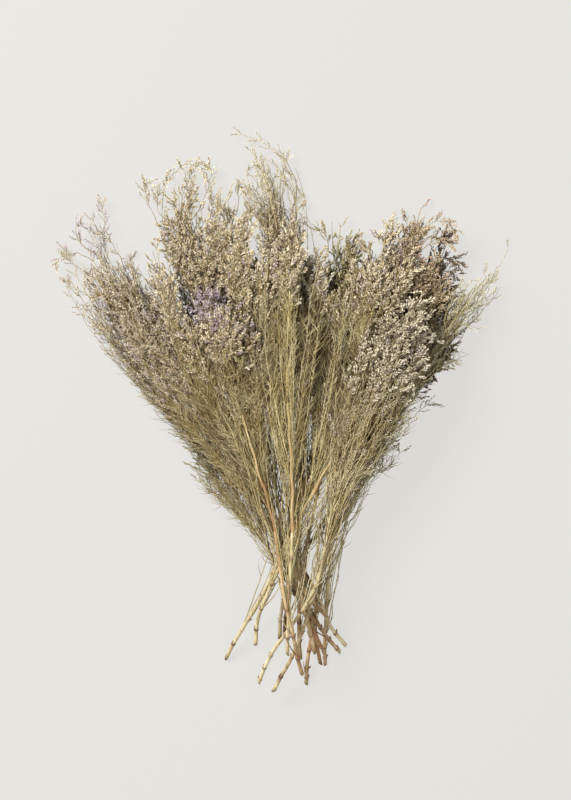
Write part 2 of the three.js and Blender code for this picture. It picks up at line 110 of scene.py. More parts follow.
STEMS = [
    stem_of("low_right", "greygreen", 11, 28, [(25, -277), (29, -240), (33, -216), (39, -178), (45, -152)],
            [(59, -112), (80, -66), (101, -14), (119, 38)], bias=-0.42),
    stem_of("brown_right", "brown", 22, 30, [(44, -257), (46, -210), (48, -170), (50, -140)],
            [(57, -95), (86, -30), (117, 48), (147, 112), (172, 184)]),
    stem_of("far_right", "palegreen", 33, 10, [(-2, -229), (3, -188), (15, -155), (34, -125), (48, -103)],
            [(72, -68), (97, -24), (134, 32), (166, 80), (200, 114), (217, 139),
             (229, 162)], bias=-0.4, plume=5.2),
    stem_of("low_left", "olive", 44, 32, [(59, -244), (37, -214), (22, -193), (6, -166), (-5, -152)],
            [(-21, -126), (-44, -84), (-69, -36), (-101, 14)], bias=0.25, florets=54),
    stem_of("far_left", "mauve", 55, 36, [(65, -237), (49, -214), (39, -190), (18, -157), (4, -136)],
            [(-15, -108), (-51, -46), (-94, 22), (-134, 84), (-168, 140), (-191, 195)], bias=-0.42),
    stem_of("left_outer", "mauve", 66, 29, [(40, -238), (27, -202), (12, -170), (3, -150)],
            [(-14, -108), (-44, -46), (-86, 24), (-126, 86), (-162, 142)], bias=-0.35),
    stem_of("left_back", "browncream", 77, 38, [(39, -254), (35, -230), (20, -187), (10, -160), (2, -138)],
            [(-11, -95), (-34, -20), (-64, 66), (-84, 138), (-97, 241)], bias=-0.3),
    stem_of("top", "creamgreen", 88, 10, [(33, -241), (29, -220), (22, -190), (16, -150)],
            [(9, -90), (6, -10), (6, 80), (11, 150), (15, 204), (6, 244), (-16, 268),
             (-48, 280)], bias=-1.25, plume=5.5),
    stem_of("left_inner", "browncream", 99, 42, [(45, -206), (36, -194), (21, -175), (12, -156), (4, -132)],
            [(-4, -90), (-16, -20), (-32, 60), (-45, 140), (-54, 218)], bias=-0.06),
    stem_of("right_back", "tan", 122, 38, [(-8, -281), (9, -250), (21, -218), (31, -182), (42, -148),
             (50, -126)],
            [(60, -75), (79, 5), (104, 88), (125, 145), (141, 204)]),
    stem_of("centre_right", "olivecream", 133, 40, [(-56, -250), (-30, -205), (-19, -186), (-3, -150),
             (5, -128)],
            [(20, -85), (32, -45), (41, 10), (49, 80), (54, 130), (60, 186)], plume=6),
    stem_of("right_front", "cream", 144, 33, [(-26, -235), (-21, -202), (-1, -154), (14, -116)],
            [(30, -84), (50, -48), (64, -14), (76, 40), (90, 100), (108, 190)], plume=6),
    stem_of("taupe_right", "taupe", 111, 35, [(-23, -272), (-8, -240), (7, -218), (31, -180), (40, -152)],
            [(51, -95), (71, -40), (95, 20), (119, 70), (141, 108)]),
    stem_of("centre_front", "cream", 155, 34, [(6, -241), (8, -210), (9, -170), (11, -120)],
            [(11, -70), (9, -30), (6, 30), (7, 110), (12, 160), (17, 204)], plume=6),
    stem_of("left_front", "lavender", 166, 32, [(20, -260), (13, -224), (3, -184), (-3, -142), (-6, -120)],
            [(-10, -98), (-22, -60), (-33, -22), (-46, 20), (-59, 70), (-76, 128)]),
]

# Stalks that carry nothing. age: how old the bark looks
BARE_STALKS = [
    {"name": "bare_right", "seed": 177, "age": 0.92,
     "stalk": [(32, -243), (24, -180), (25, -140), (34, -100), (46, -40)]},
    {"name": "bare_middle", "seed": 188, "age": 0.95,
     "stalk": [(19, -251), (18, -195), (16, -145), (19, -95), (24, -30)]},
    {"name": "bare_left", "seed": 199, "age": 0.9,
     "stalk": [(3, -226), (8, -185), (3, -140), (-8, -100), (-24, -40)]},
]

# Sprigs that stick out of each spray, as routes in the same layout
SPRIGS = {
    "left_back": [[(-118, 180), (-120, 205), (-115, 228), (-98, 245), (-84, 246), (-76, 238)],
        [(-100, 186), (-100, 208), (-95, 226), (-82, 248)],
        [(-118, 176), (-128, 196), (-135, 212), (-136, 224), (-131, 229)],
        [(-112, 186), (-124, 202), (-122, 218), (-114, 232)],
        [(-88, 190), (-76, 216), (-70, 236), (-72, 246)], [(-80, 176), (-70, 196), (-66, 214)]],
    "left_inner": [[(-68, 176), (-66, 196), (-58, 210)], [(-52, 182), (-42, 206), (-46, 224), (-36, 222)],
        [(-38, 170), (-30, 196), (-34, 216)]],
    "far_left": [[(-178, 160), (-177, 184), (-180, 213)],
        [(-188, 150), (-204, 157), (-218, 154), (-227, 146)],
        [(-192, 138), (-208, 145), (-217, 156), (-220, 164)],
        [(-186, 156), (-200, 166), (-206, 180), (-200, 188)]],
    "left_outer": [[(-150, 128), (-160, 152), (-172, 170), (-178, 176)],
        [(-142, 118), (-146, 138), (-154, 152)]],
    "right_back": [[(128, 160), (150, 186), (164, 186), (174, 178)],
        [(132, 150), (146, 164), (158, 172), (170, 166)], [(120, 150), (132, 174), (146, 184)]],
    "brown_right": [[(146, 138), (160, 152), (172, 152), (180, 148)],
        [(142, 120), (156, 134), (168, 140), (177, 136)], [(138, 92), (150, 104), (162, 108), (175, 120)],
        [(152, 150), (158, 166), (168, 170)]],
    "far_right": [[(158, 72), (172, 84), (186, 84), (198, 80)], [(170, 86), (188, 102), (208, 114)],
        [(172, 90), (179, 112), (184, 130)], [(198, 114), (208, 128), (216, 134)]],
    "centre_right": [[(60, 150), (66, 166), (76, 172)], [(48, 154), (46, 172), (38, 184)]],
    "right_front": [[(90, 140), (86, 158), (80, 168)]],
    "low_right": [[(128, -14), (142, 2), (154, 8)]],
    "top": [[(12, 200), (15, 226), (8, 246), (-3, 262)], [(10, 214), (2, 240), (8, 254)]],
}
SPRIG_RISE = 7  # of a sprig above its start

# Wisps of bare twigs that close the gaps between the sprays
WISPS = {
    "right_front": [[(30, -84), (35, -30), (38, 30), (42, 80), (48, 130)],
        [(30, -84), (40, -36), (47, 30), (52, 84), (58, 128)], [(33, -50), (33, 20), (36, 84), (40, 146)],
        [(31, -70), (36, 0), (40, 60), (44, 120)], [(8, -142), (20, -120), (32, -90), (40, -40)]],
    "centre_front": [[(11, -70), (22, -24), (29, 30), (33, 84), (35, 128)],
        [(11, -70), (15, -40), (21, 20), (25, 76), (29, 118)],
        [(10, -76), (-4, -30), (-16, 30), (-24, 84), (-30, 130)]],
    "left_front": [[(-10, -98), (-16, -50), (-22, 0), (-30, 60), (-38, 110)]],
    "left_inner": [[(-44, 120), (-40, 160), (-33, 198)], [(-56, 130), (-64, 164), (-69, 196)]],
    "centre_right": [[(58, 110), (70, 146), (77, 168)], [(5, -152), (18, -128), (29, -100), (35, -50)]],
    "taupe_right": [[(37, -170), (36, -130), (38, -95), (46, -50)]],
}
WISP = {"side": 4.0, "rise": 6, "reach": (0.6, 1.05)}  # how far its twigs stray, rise, and follow its route

# Where the florets still have their lilac petals, as places and radii
LILAC = [((-74, 104), 21), ((-60, 84), 10), ((-196, 168), 24), ((-180, 190), 16)]
LILAC_EDGE = 1.3  # the larger, the further beyond that radius

# ---- The fine parts ------------------------------------------------
PATH_STEP = 3.0  # between the points of a smooth line
FEWEST_POINTS = 8
PLACED_STEPS = 3  # from one listed place to the next
PATH_BLUR = 5  # the bends over things that lie below are rounded over this many steps
LOWEST = 0.1  # nothing fine goes below this height

STALK_RING_SIDES = 12
STALK_STEP = 5.0  # distance between the rings of a drawn stalk
STALK_JOIN = 1.4  # how far a drawn stalk runs on into its spray
KINK = 0.9  # how far a stalk bends aside at its ring nodes
AGES = {"left_front": 0.98, "low_left": 0.85, "far_left": 0.2, "right_back": 0.75, "low_right": 0.8,
        "top": 0.7, "left_back": 0.98, "left_outer": 1.0, "left_inner": 0.86, "brown_right": 0.74}
YOUNG = 0.3  # the age of the other stalks' bark
SLENDER = 0.72  # a drawn stalk's radius over its solid's
SMALL_RINGS = {"first": (6, 20), "pitch": 27.0, "stray": 6, "clear": 9}  # between the ring nodes of the bark
RING_PROFILE = np.array([-2.6, -1.2, -0.4, 0.4, 1.2, 2.6])  # where a ring is drawn, along the stalk
CLOSEST_RINGS = 0.35
RING = {"faintest": 0.25, "swell": (0.16, 0.36), "length": 1.3, "stain": (0.9, 4.5)}
WAVES = {"swell": 0.05, "length": 11}  # of a stalk's radius
NECK = {"length": 6, "radius": 1.06}  # where a stalk narrows to its rachis
SIDE_SHOOT_SIDES = 5
STUB = {"share": 0.55, "shortest": 4, "longest": 42, "short": 1.5, "radius": 0.5, "taper": (1.8, 0.7),
        "rings": 6, "out": 0.6, "ring": 0.6}  # dead side shoots
BUD = {"length": 3.4, "radius": 0.9, "taper": (1.2, 1, 0.5), "ahead": 0.9, "out": 0.6,
       "ring": 0.7}  # on the other side of a ring node
CUT = {"splinter": 0.5, "wood": 0.35, "depth": 0.5, "pith": 0.8}  # the end of a stalk

FINE_BRANCH = 0.65  # a drawn branch's radius over its solid's
FINE_TIP = 0.5  # and its tip's
STRAND_SIDES = 4
SLIM_RACHIS = {"share": 0.6, "fall": 12}  # how soon it thins to that share
TRUNK_STEP = 3  # points of a strand's line to a ring
TRUNK_END = 9  # the last rings of a strand carry shoots
WOODY = {"left_front", "centre_front", "right_front", "centre_right", "right_back"}  # straw-coloured rachis
WOODY_RISE = {"to": 0.5, "height": 5.5}  # how far along it stands above the twigs, and how high
WOODY_BARK = {"foot": 1.7, "fall": 3.6}  # bark from its foot on, which gives way to green
WOODY_JOINTS = {"every": 4, "bend": 0.7, "swell": 1.3, "between": 0.9}
# Groups of twigs. count: on each strand, each 150 mm of one (short), each gap between branches (between),
# each wisp or each spray; root, tip: as shares of the strand, or from the crown (low); length: at most;
# aside: from the strand, or as a share of the spread (stray); curl: times the spray's own, but for the pale
# twigs and the sprigs; radius: at the root; shoots: on each twig. Ranges are drawn from in their order here.
TWIGS = {
    "trunk": {"shoots": 18},
    "long": {"count": 8, "root": (0.02, 0.5), "tip": (0.62, 1.0), "aside": (1.5, 8.5), "above": (-4, 4),
             "rings": 14, "curl": 1, "radius": 0.44, "shoots": 32},
    "short": {"count": 9, "root": (0.16, 0.93), "length": (22, 46), "tip": (0.92, 1.03), "aside": (2.5, 9.0),
              "above": (-4, 4), "rings": 6, "curl": 0.7, "radius": 0.36, "shoots": 10},
    "between": {"count": 6, "rings": 12, "curl": 0.6, "radius": 0.42, "shoots": 31},
    "foot": {"count": 14, "root": (0.0, 0.12), "tip": (0.25, 0.5), "aside": (3, 15), "above": (-4, 4),
             "rings": 10, "curl": 1, "radius": 0.46, "shoots": 18},
    "stray": {"count": 14, "root": (0.03, 0.3), "tip": (0.6, 0.85), "aside": (-0.95, 0.95), "above": (2, 9),
              "rings": 11, "curl": 0.8, "radius": 0.48, "shoots": 32},
    "low": {"count": 9, "root": (5, 120), "tip": (20, 110), "aside": (3, 14), "above": (-4, 4),
            "rings": 10, "curl": 0.8, "radius": 0.68, "shoots": 4},
    "wisp": {"count": 7, "curl": 1, "radius": 0.46, "shoots": 40},
    "sprig": {"curl": 0.3, "radius": 0.4, "shoots": 18},
}
FEWEST = {"long": 3, "short": 4, "shoots": 4}
SHORT_TWIG = {"shortest": 9, "strand": 150}
FORK_TWIGS = 0.7  # a fork's twigs over a branch's
TWIG_TIP = 0.45  # of the radius at its root
TWIG_TONES = {"usual": (-0.25, 1.0), "pale": (0.3, 1.15)}
PALE_TWIGS = ("stray", "low", "wisp")
LONG_TWIG_SHORTEST = 30
STRAY = {"spread": 15, "bias": 0.7}  # a spray narrower than that spread has none
LOWEST_TWIG = 30  # from the cut end of a stalk
ZIGZAG = 1.1  # how unevenly a twig runs
SPRIG = {"zigzag": 0.4, "floret": 0.8, "span": (0.35, 1.0)}  # times that of other twigs; its SHOOT_SPAN
SHOOT_SPAN = (0.1, 0.99)  # where shoots sit, along a twig
BESIDE = {"leave": 0.24, "half": 0.5, "follow": 0.36, "fan": (0.75, 1.35)}  # how twigs run beside a strand
BETWEEN = {"reach": (0.7, 0.97), "place": (0.2, 0.8), "stray": 0.12, "sag": 2.5}  # and between two branches
SWAY = {"waves": (1.2, 2.6), "lean": 0.5, "hook": 3.0, "from": 5}  # of a twig, and how soon it zigzags
UNEVEN_TWIGS = (0.8, 1.2)  # times their radius
SHOOT = {"up": (-0.7, 0.9), "ahead": 0.8, "on": 0.1, "out": 0.76, "back": 0.26}  # how it leaves its twig
SHOOT_TAPER = 0.7
UNEVEN_SHOOTS = (0.8, 1.25)
BARE_SHOOT_RADIUS = 0.33
FLORET_SHOOT_RADIUS = 0.28
SHOOT_LENGTH = (4.5, 11.5)
LONG_SHOOT = 1.8  # times the length of the others
LONG_SHOOTS = 0.42  # the share of the bare shoots that are long and bent
HEAD_SHOOTS = 0.56  # the share of the shoots on a head that carry florets
HEAD_EDGE = 0.05  # how unevenly a head begins, along the spray
HEAD_SPIKES = 0.85  # a shoot on a head is a bare spike where its draw is above this
TUFTS = {"share": 0.08, "from": 0.4, "size": 0.62}  # small heads among the bare shoots
FULL = {"root": 0.06, "over": 0.35, "least": 0.06}  # how the shoots grow in number from a spray's foot
FLORETS = 6  # on a side shoot
FLORET = {"length": 4.2, "width": 1.7, "uneven": 0.2, "corners": 4, "sizes": (0.72, 1.18),
          "petal": (0.5, 1)}
ON_SHOOT = {"from": 1.0, "to": 0.24, "far_side": -0.6, "aside": (0.1, 0.65), "up": (-0.2, 0.45)}  # florets
HEAD_TONE = 0.45  # how much of a floret's tone is its head's

# ---- Colours, as seen in daylight (sRGB) ---------------------------
WHITE = (255, 255, 255)
FLOOR_COLOUR = (229, 227, 223)
PALEST_TWIG = (238, 230, 196)
SPECKS = (206, 190, 164)  # over the twigs
WITHERED = (236, 222, 196)  # over patches of the twigs
WEATHERED = (228, 216, 198)  # over the stalks among the twigs
RUST = (138, 84, 50)  # at their joints
STALK_COLOURS = {"light": (226, 212, 176), "mid": (192, 174, 126), "dark": (110, 88, 54),
                 "old": (188, 146, 102), "oldest": (104, 74, 48), "knot": (96, 48, 34),
                 "pith": (236, 228, 202)}
TWIG_SHADOW = (0.54, 0.49, 0.39)  # the darkest twigs over the usual ones
TWIG_PALE = 0.6  # how near the lightest twigs are to the palest
FLORET_FOOT = 0.45  # a floret's foot, from the twigs' colour to its own dark one
OLD_BARK = {"from": 0.72, "steep": 2.4}  # the age from which bark is brown, and how fast it changes
SHADED = {"florets": 0.6, "twigs": 1, "stalks": 0.55}  # how much of the painted shade they take
# how far the canopy heights are smoothed for the painted shade
SHADE_BLUR = 3
# In the materials: noise as a scale, detail and stretch; the weights of a code and a noise in a tone; where
# the colours of a ramp are; bumps as strength and distance in metres
NOISES = {"floret": (38, 4), "paper": (2600, 2), "twig": (30, 3), "specks": (620, 2), "withered": (45, 4),
          "grain": (1400, 3), "rust": (180, 3), "streaks": (640, 5, (1, 0.07, 1)), "bark": (34, 3),
          "blotches": (16, 3)}
WEIGHTS = {"floret": (0.62, 0.5), "twig": (0.66, 0.4), "bark": (0.6, 0.5)}
STOPS = {"floret": (0.12, 0.42, 0.85), "twig": (0.12, 0.42, 0.82), "young": (0.28, 0.5, 0.68),
         "old": (0.3, 0.62), "specks": (0.4, 0.52), "withered": (0.42, 0.7)}
BUMPS = {"paper": (0.35, 0.0004), "grain": (0.3, 0.0003), "streaks": (0.5, 0.0006)}
ROUGHNESS = {"florets": 0.85, "twigs": 0.75, "stalks": 0.8, "floor": 0.9}
RIM_FROM = 1.6  # how soon a floret's own colour begins above its foot
PETAL_FROM = 1.4
BLOTCHES = 1.1  # how strong they are
RUSTY = 1.1
PAINTED_SHADE = (114, 92, 44)  # painted shade, multiplied over what lies deep in the bunch
SHADE_DEPTH = (4.0, 25.0)  # how deep the painted shade on the fine parts begins, and where it is at its darkest
OPEN = {"low_right": 0.12, "far_right": 0.3, "brown_right": 0.6}  # the share of the painted shade on the lit edges
# twig: thin stems; dark, mid, light: florets from the shaded foot to the papery rim; petal: faded petals;
# petals: the share of the heads with petals; size: of the florets; flowered: the share of the shoots on a
# head that carry florets; head: where it begins, along the spray; curl: of the twigs; twigs: how many
KIND_COLUMNS = ("twig", "dark", "mid", "light", "petal", "petals", "size", "flowered", "head", "curl",
                "twigs")
KINDS = {name: dict(zip(KIND_COLUMNS, row)) for name, row in {
    "greygreen": ((222, 218, 178), (126, 112, 72), (206, 196, 158), (230, 220, 190), (206, 196, 190),
        0.04, 0.8, 0.4, 0.62, 1.2, 0.42),
    "brown": ((196, 184, 140), (86, 68, 50), (124, 103, 78), (168, 147, 120), (156, 130, 124),
        0.15, 1.0, 1.0, 0.56, 0.8, 1.0),
    "palegreen": ((216, 210, 166), (170, 156, 110), (222, 212, 174), (244, 236, 212), (220, 212, 208),
        0.04, 0.7, 0.5, 0.5, 1.6, 0.36),
    "creamgreen": ((204, 192, 148), (168, 152, 108), (226, 214, 178), (250, 242, 220), (224, 208, 200),
        0.08, 0.68, 0.6, 0.56, 1.3, 0.8),
    "olive": ((158, 148, 100), (118, 102, 58), (174, 160, 106), (210, 198, 150), (196, 186, 170),
        0.02, 0.7, 0.25, 0.6, 1.2, 0.8),
    "mauve": ((170, 156, 108), (166, 144, 104), (232, 215, 184), (248, 238, 218), (204, 188, 210),
        0.1, 0.7, 0.8, 0.6, 1.7, 1),
    "browncream": ((166, 152, 102), (130, 110, 64), (226, 208, 166), (252, 242, 218), (200, 184, 208),
        0.03, 0.86, 0.9, 0.6, 1.1, 1),
    "taupe": ((196, 186, 144), (100, 84, 58), (212, 198, 168), (236, 226, 204), (214, 206, 202),
        0.06, 1.2, 1.0, 0.66, 0.6, 0.8),
    "cream": ((200, 190, 138), (142, 122, 76), (222, 206, 166), (244, 233, 208), (222, 204, 212),
        0.1, 0.98, 0.9, 0.72, 0.8, 1),
    "tan": ((186, 174, 122), (116, 95, 66), (198, 174, 138), (226, 210, 184), (220, 192, 180),
        0.12, 0.95, 1.0, 0.72, 0.8, 1),
    "olivecream": ((186, 178, 124), (128, 112, 60), (206, 192, 136), (242, 232, 194), (220, 212, 200),
        0.04, 0.8, 0.55, 0.62, 1.1, 1),
    "lavender": ((166, 154, 104), (134, 114, 68), (224, 204, 160), (246, 236, 214), (196, 180, 208),
        0.08, 0.92, 1.0, 0.7, 0.8, 1),
}.items()}

# ---- Floor, light and camera, in metres ----------------------------
FLOOR_SIZE = 30.0
FLOOR_MATTER = {"reflected": 0.1, "glow": 0.86}  # of its colour, so that it's evenly pale
LIGHTS = {"key": {"place": (-1.3, 1.1, 1.9), "size": 1.1, "power": 96},
          "fill": {"place": (1.4, -1.2, 2.2), "size": 2.0, "power": 8}}
SKY = {"colour": (1, 0.99, 0.97, 1), "strength": 0.44}
CAMERA_HEIGHT = 2.64
FRAMED_LENGTH = 0.8  # of the surface, from the top to the bottom of the picture
SUBJECT_HEIGHT = 0.025  # at which that length is measured
PICTURE_CENTRE = (4.5, 10.0)  # in the layout, in millimetres


# ---- Laying the stems, as in the solids ----------------------------
def random_from(seed):
    """A generator of numbers from 0 to 1 that gives the same numbers as the solids' own."""
    state = seed

    def draw():
        nonlocal state
        state = (state * 16807) % 2147483647
        return state / 2147483647

    return draw


def mix(a, b, share):
    return a + (b - a) * share


class Heap:
    """The heights of what already lies in the field, cell by cell."""

    def __init__(self, height):
        self.tops = np.full((FIELD["rows"], FIELD["columns"]), float(height))

    def cells(self, x, y, radius):
        """The window of cells round a disc, and which of them it touches."""
        windows, aways = [], []
        for middle, edge in ((y, FIELD["bottom"]), (x, FIELD["left"])):
            first = math.floor((middle - radius - edge) / CELL)
            last = math.floor((middle + radius - edge) / CELL) + 1
            cells = edge + CELL * np.arange(first, last)
            windows.append(slice(first, last))
            aways.append(np.maximum(np.maximum(cells - middle, middle - cells - CELL), 0))
        return self.tops[tuple(windows)], aways[1] ** 2 + aways[0][:, None] ** 2 < radius * radius

    def under(self, x, y, radius):
        window, touched = self.cells(x, y, radius)
        return window[touched].max(initial=-math.inf)

    def lift_to(self, x, y, radius, height):
        window, touched = self.cells(x, y, radius)
        window[touched] = np.maximum(window[touched], height)


def route_of(points):
    points = np.asarray(points, float)
    steps = np.linalg.norm(np.diff(points, axis=0), axis=1)
    distances = [0.0, *np.cumsum(steps).tolist()]
    return {"points": points.tolist(), "distances": distances, "length": distances[-1]}


def through(corners, divisions):
    """A smooth line through corners: a uniform Catmull-Rom curve, with its ends carried straight on."""
    corners = np.asarray(corners, float)
    padded = np.vstack([2 * corners[0] - corners[1], corners, 2 * corners[-1] - corners[-2]])
    place = np.linspace(0, len(corners) - 1, divisions + 1)
    first = np.minimum(place.astype(int), len(corners) - 2)
    t = (place - first)[:, None]
    p0, p1, p2, p3 = (padded[first + k] for k in range(4))
    v0 = (p2 - p0) / 2
    v1 = (p3 - p1) / 2
    return p1 + v0 * t + (-3 * p1 + 3 * p2 - 2 * v0 - v1) * t**2 + (2 * p1 - 2 * p2 + v0 + v1) * t**3


def bezier(p0, p1, p2, p3, t):
    return (1 - t) ** 3 * p0 + 3 * (1 - t) ** 2 * t * p1 + 3 * (1 - t) * t**2 * p2 + t**3 * p3


def along(route, distance):
    """The point of a route at a distance from its start, and the direction there."""
    distances = route["distances"]
    i = min(bisect_left(distances, distance, 1) - 1, len(distances) - 2)
    span = distances[i + 1] - distances[i]
    share = (distance - distances[i]) / span
    (ax, ay), (bx, by) = route["points"][i], route["points"][i + 1]
    return {"x": mix(ax, bx, share), "y": mix(ay, by, share), "dx": (bx - ax) / span, "dy": (by - ay) / span}


def beside(at, forward, right):
    """A point forward and to the right of a place on a route."""
    return np.array([at["x"] + at["dx"] * forward + at["dy"] * right,
                     at["y"] + at["dy"] * forward - at["dx"] * right])


def samples_of(stations):
    """Points close together along a strand: station, share of the way on, values, radius, half height."""
    for k in range(len(stations) - 1):
        a, b = stations[k], stations[k + 1]
        steps = math.ceil((b["s"] - a["s"]) / SAMPLE)
        radius = max(a["radius"], b["radius"])
        half = max(a["radius"] * a["flatness"], b["radius"] * b["flatness"])
        for j in range(steps + 1):
            share = j / steps
            at = {key: mix(a[key], b[key], share) for key in ("x", "y", "s", "room", "lift")}
            yield k, share, at, radius, half


def limits_of(stations, heap, own, root_height):
    """The least height at each sample of a strand: its station, share, distance and height."""
    limits = []
    for k, share, at, radius, half in samples_of(stations):
        below = heap.under(at["x"], at["y"], max(at["room"], radius + ELBOW_ROOM))
        if own is not None and at["s"] > FREE_ROOT:
            below = max(below, own.under(at["x"], at["y"], radius + ELBOW_ROOM))
        limits.append([k, share, at["s"], below + half + CLEARANCE + at["lift"]])
    rooted = root_height is not None
    if rooted:
        limits[0][3] = root_height
    onward = [(i, i - 1) for i in range(1, len(limits))]
    back = [(i, i + 1) for i in range(len(limits) - 2, 0 if rooted else -1, -1)]
    for i, near in onward + back:
        fall = STEEPEST * abs(limits[i][2] - limits[near][2])
        limits[i][3] = max(limits[i][3], limits[near][3] - fall)
    return limits


def lay(stations, heap, own=None, root_height=None):
    """Gives each station the height at which it rests on the heap. A rooted strand keeps its first."""
    limits = limits_of(stations, heap, own, root_height)
    first = 0 if root_height is None else 1
    heights = [-math.inf] * len(stations)
    if first:
        heights[0] = root_height
    for k, share, _, z in limits:
        if share == 0 and k >= first:
            heights[k] = max(heights[k], z)
        if share == 1:
            heights[k + 1] = max(heights[k + 1], z)
        if k < first and share > STIFF_ROOT:
            heights[1] = max(heights[1], z)
    for k, share, _, z in limits:
        shortage = z - mix(heights[k], heights[k + 1], share)
        if k >= first and shortage > 0:
            heights[k] += shortage
            heights[k + 1] += shortage
    for _ in range(SPRINGY_PASSES):
        for k in range(1, len(stations) - 1):
            before, here, after = (stations[k + step]["s"] for step in (-1, 0, 1))
            share = (here - before) / (after - before)
            heights[k] = max(heights[k], mix(heights[k - 1], heights[k + 1], share))
    for station, height in zip(stations, heights):
        station["z"] = height


def stamp(stations, heap, width):
    """Adds a strand to a heap, with its width times the one given."""
    for k, share, at, radius, half in samples_of(stations):
        z = mix(stations[k]["z"], stations[k + 1]["z"], share)
        heap.lift_to(at["x"], at["y"], radius * width, z + half)


def stalk_stations(route, length, random):
    """The stations of a stalk, and where along it its ring nodes are."""
    pieces = math.floor(length / STALK_STATION + 0.5)
    stops = [(length * i / pieces, 1) for i in range(pieces + 1)]
    knots = []
    for i in range(math.floor(length / NODE_SPACING)):
        middle = NODE_SPACING * (i + mix(*NODE_PLACE, random()))
        random()  # the side of the solid's bud scar
        knots.append(middle)
        stops += [(middle - NODE_HALF_LENGTH, 1), (middle, NODE_SWELL), (middle + NODE_HALF_LENGTH, 1)]
    stops.sort(key=lambda stop: stop[0])
    clear = [stop for i, stop in enumerate(stops) if i == 0 or stop[0] - stops[i - 1][0] > SHORTEST_PIECE]
    stations = []
    for s, swell in clear:
        radius = mix(*STALK_RADIUS, s / length) * swell
        plain = {"s": s, "radius": radius, "room": radius, "lift": 0, "flatness": 1}
        stations.append({**along(route, s), **plain})
    return stations, knots


def plume_stations(route, start, thin, plume, room, random):
    """The stations of a bare branch that ends in a plume of florets."""
    length = route["length"] - start
    stations = []

    def add(s, radius, flatness):
        stations.append({
            **along(route, start + s), "s": s, "radius": radius, "room": max(room["beside"], radius),
            "lift": room["below"] * min(1, s / (ROOM_FROM * length)), "flatness": flatness})

    bare_length = max(BARE_SHARE * length, length - plume["length"])
    bare = max(1, math.floor(bare_length / TWIG_STATION + 0.5))
    for i in range(bare):
        add(bare_length * i / bare, mix(*thin, i / bare), 1)
    whorls = max(2, math.floor((length - bare_length) / WHORL_PITCH + 0.5))
    for i in range(whorls):
        share = i / whorls
        opening = PLUME_FULLNESS["foot"] + PLUME_FULLNESS["gain"] * share
        closing = PLUME_FULLNESS["tip"] + PLUME_FULLNESS["gain"] * (1 - share)
        foot = bare_length + (length - bare_length) * share
        for _ in range(TWIG_SIDES):
            random()  # the solid's florets
        add(foot, thin[1], 1)
        add(foot + CALYX_RISE, plume["radius"] * min(1, opening, closing), PLUME_FLATNESS)
    add(length, thin[1], 1)
    return stations


def root_on(route, distance, stations, s):
    """A place inside a laid strand, with the direction of its route there."""
    k = 0
    while k + 2 < len(stations) and stations[k + 1]["s"] < s:
        k += 1
    a, b = stations[k], stations[k + 1]
    share = (s - a["s"]) / (b["s"] - a["s"])
    place = {key: mix(a[key], b[key], share) for key in ("x", "y", "z")}
    at = along(route, distance)
    return {**place, "dx": at["dx"], "dy": at["dy"]}


def branch_offsets(count):
    """Where side branches end across the head, from -1 to 1, and how many are in the lower layer."""
    lower = math.ceil(count / 2)
    offsets = []
    for size in (lower, count - lower):
        for j in range(size):
            outward = 1 - (2 * (j // 2) + 1) / size
            offsets.append(outward if j % 2 == 0 else -outward)
    return offsets, lower


def swept_route(carrier, root, start, end, sideways, sweep, divisions):
    """A route that leaves its carrier at start and ends beside it at end."""
    reach = end - start
    corners = (beside(root, 0, 0), beside(root, sweep["leave"] * reach, sweep["aside"] * sideways),
               beside(along(carrier, end - sweep["follow"] * reach), 0, sweep["bow"] * sideways),
               beside(along(carrier, end), 0, sideways))
    return route_of(bezier(*corners, np.linspace(0, 1, divisions + 1)[:, None]))


def branch_route(stem, route, crown, rachis, offset, random):
    """The route of a side branch of a rachis, and the height of its root."""
    outward = abs(offset)
    length = route["length"] - crown
    root_at = mix(LAST_BRANCH, FIRST_BRANCH, outward) + UNEVEN["root"] * (random() - 0.5)
    tip_at = min(1, 1 - HEAD_ROUNDNESS * outward**HEAD_CORNER - UNEVEN["tip"] * random())
    sideways = stem["spread"] * (offset + stem["bias"] + UNEVEN["side"] * (random() - 0.5))
    start, end = crown + root_at * length, crown + tip_at * length
    root = root_on(route, start, rachis, start - crown)
    return swept_route(route, root, start, end, sideways, BRANCH_SWEEP, DIVISIONS["branch"]), root["z"]


def fork_route(branch, stations, random):
    """The route of a fork of a branch, and the height of its root."""
    root_at = branch["length"] * mix(*FORK_ROOT, random())
    tip_at = branch["length"] * mix(*FORK_TIP, random())
    side = -1 if random() < 0.5 else 1
    sideways = side * mix(*FORK_SPREAD, random())
    root = root_on(branch, root_at, stations, root_at)
    return swept_route(branch, root, root_at, tip_at, sideways, FORK_SWEEP, DIVISIONS["fork"]), root["z"]


def lay_bare_stalk(bare, heap):
    """Lays a stalk that carries nothing on the heap, and gives its path and its ring nodes."""
    route = route_of(through(np.array(bare["stalk"], float) - CENTRE, DIVISIONS["stem"]))
    stalk, knots = stalk_stations(route, route["length"], random_from(bare["seed"]))
    lay(stalk, heap)
    stamp(stalk, heap, 1)
    return path_of(route, 0, stalk, STALK_RADIUS, "stalk"), knots


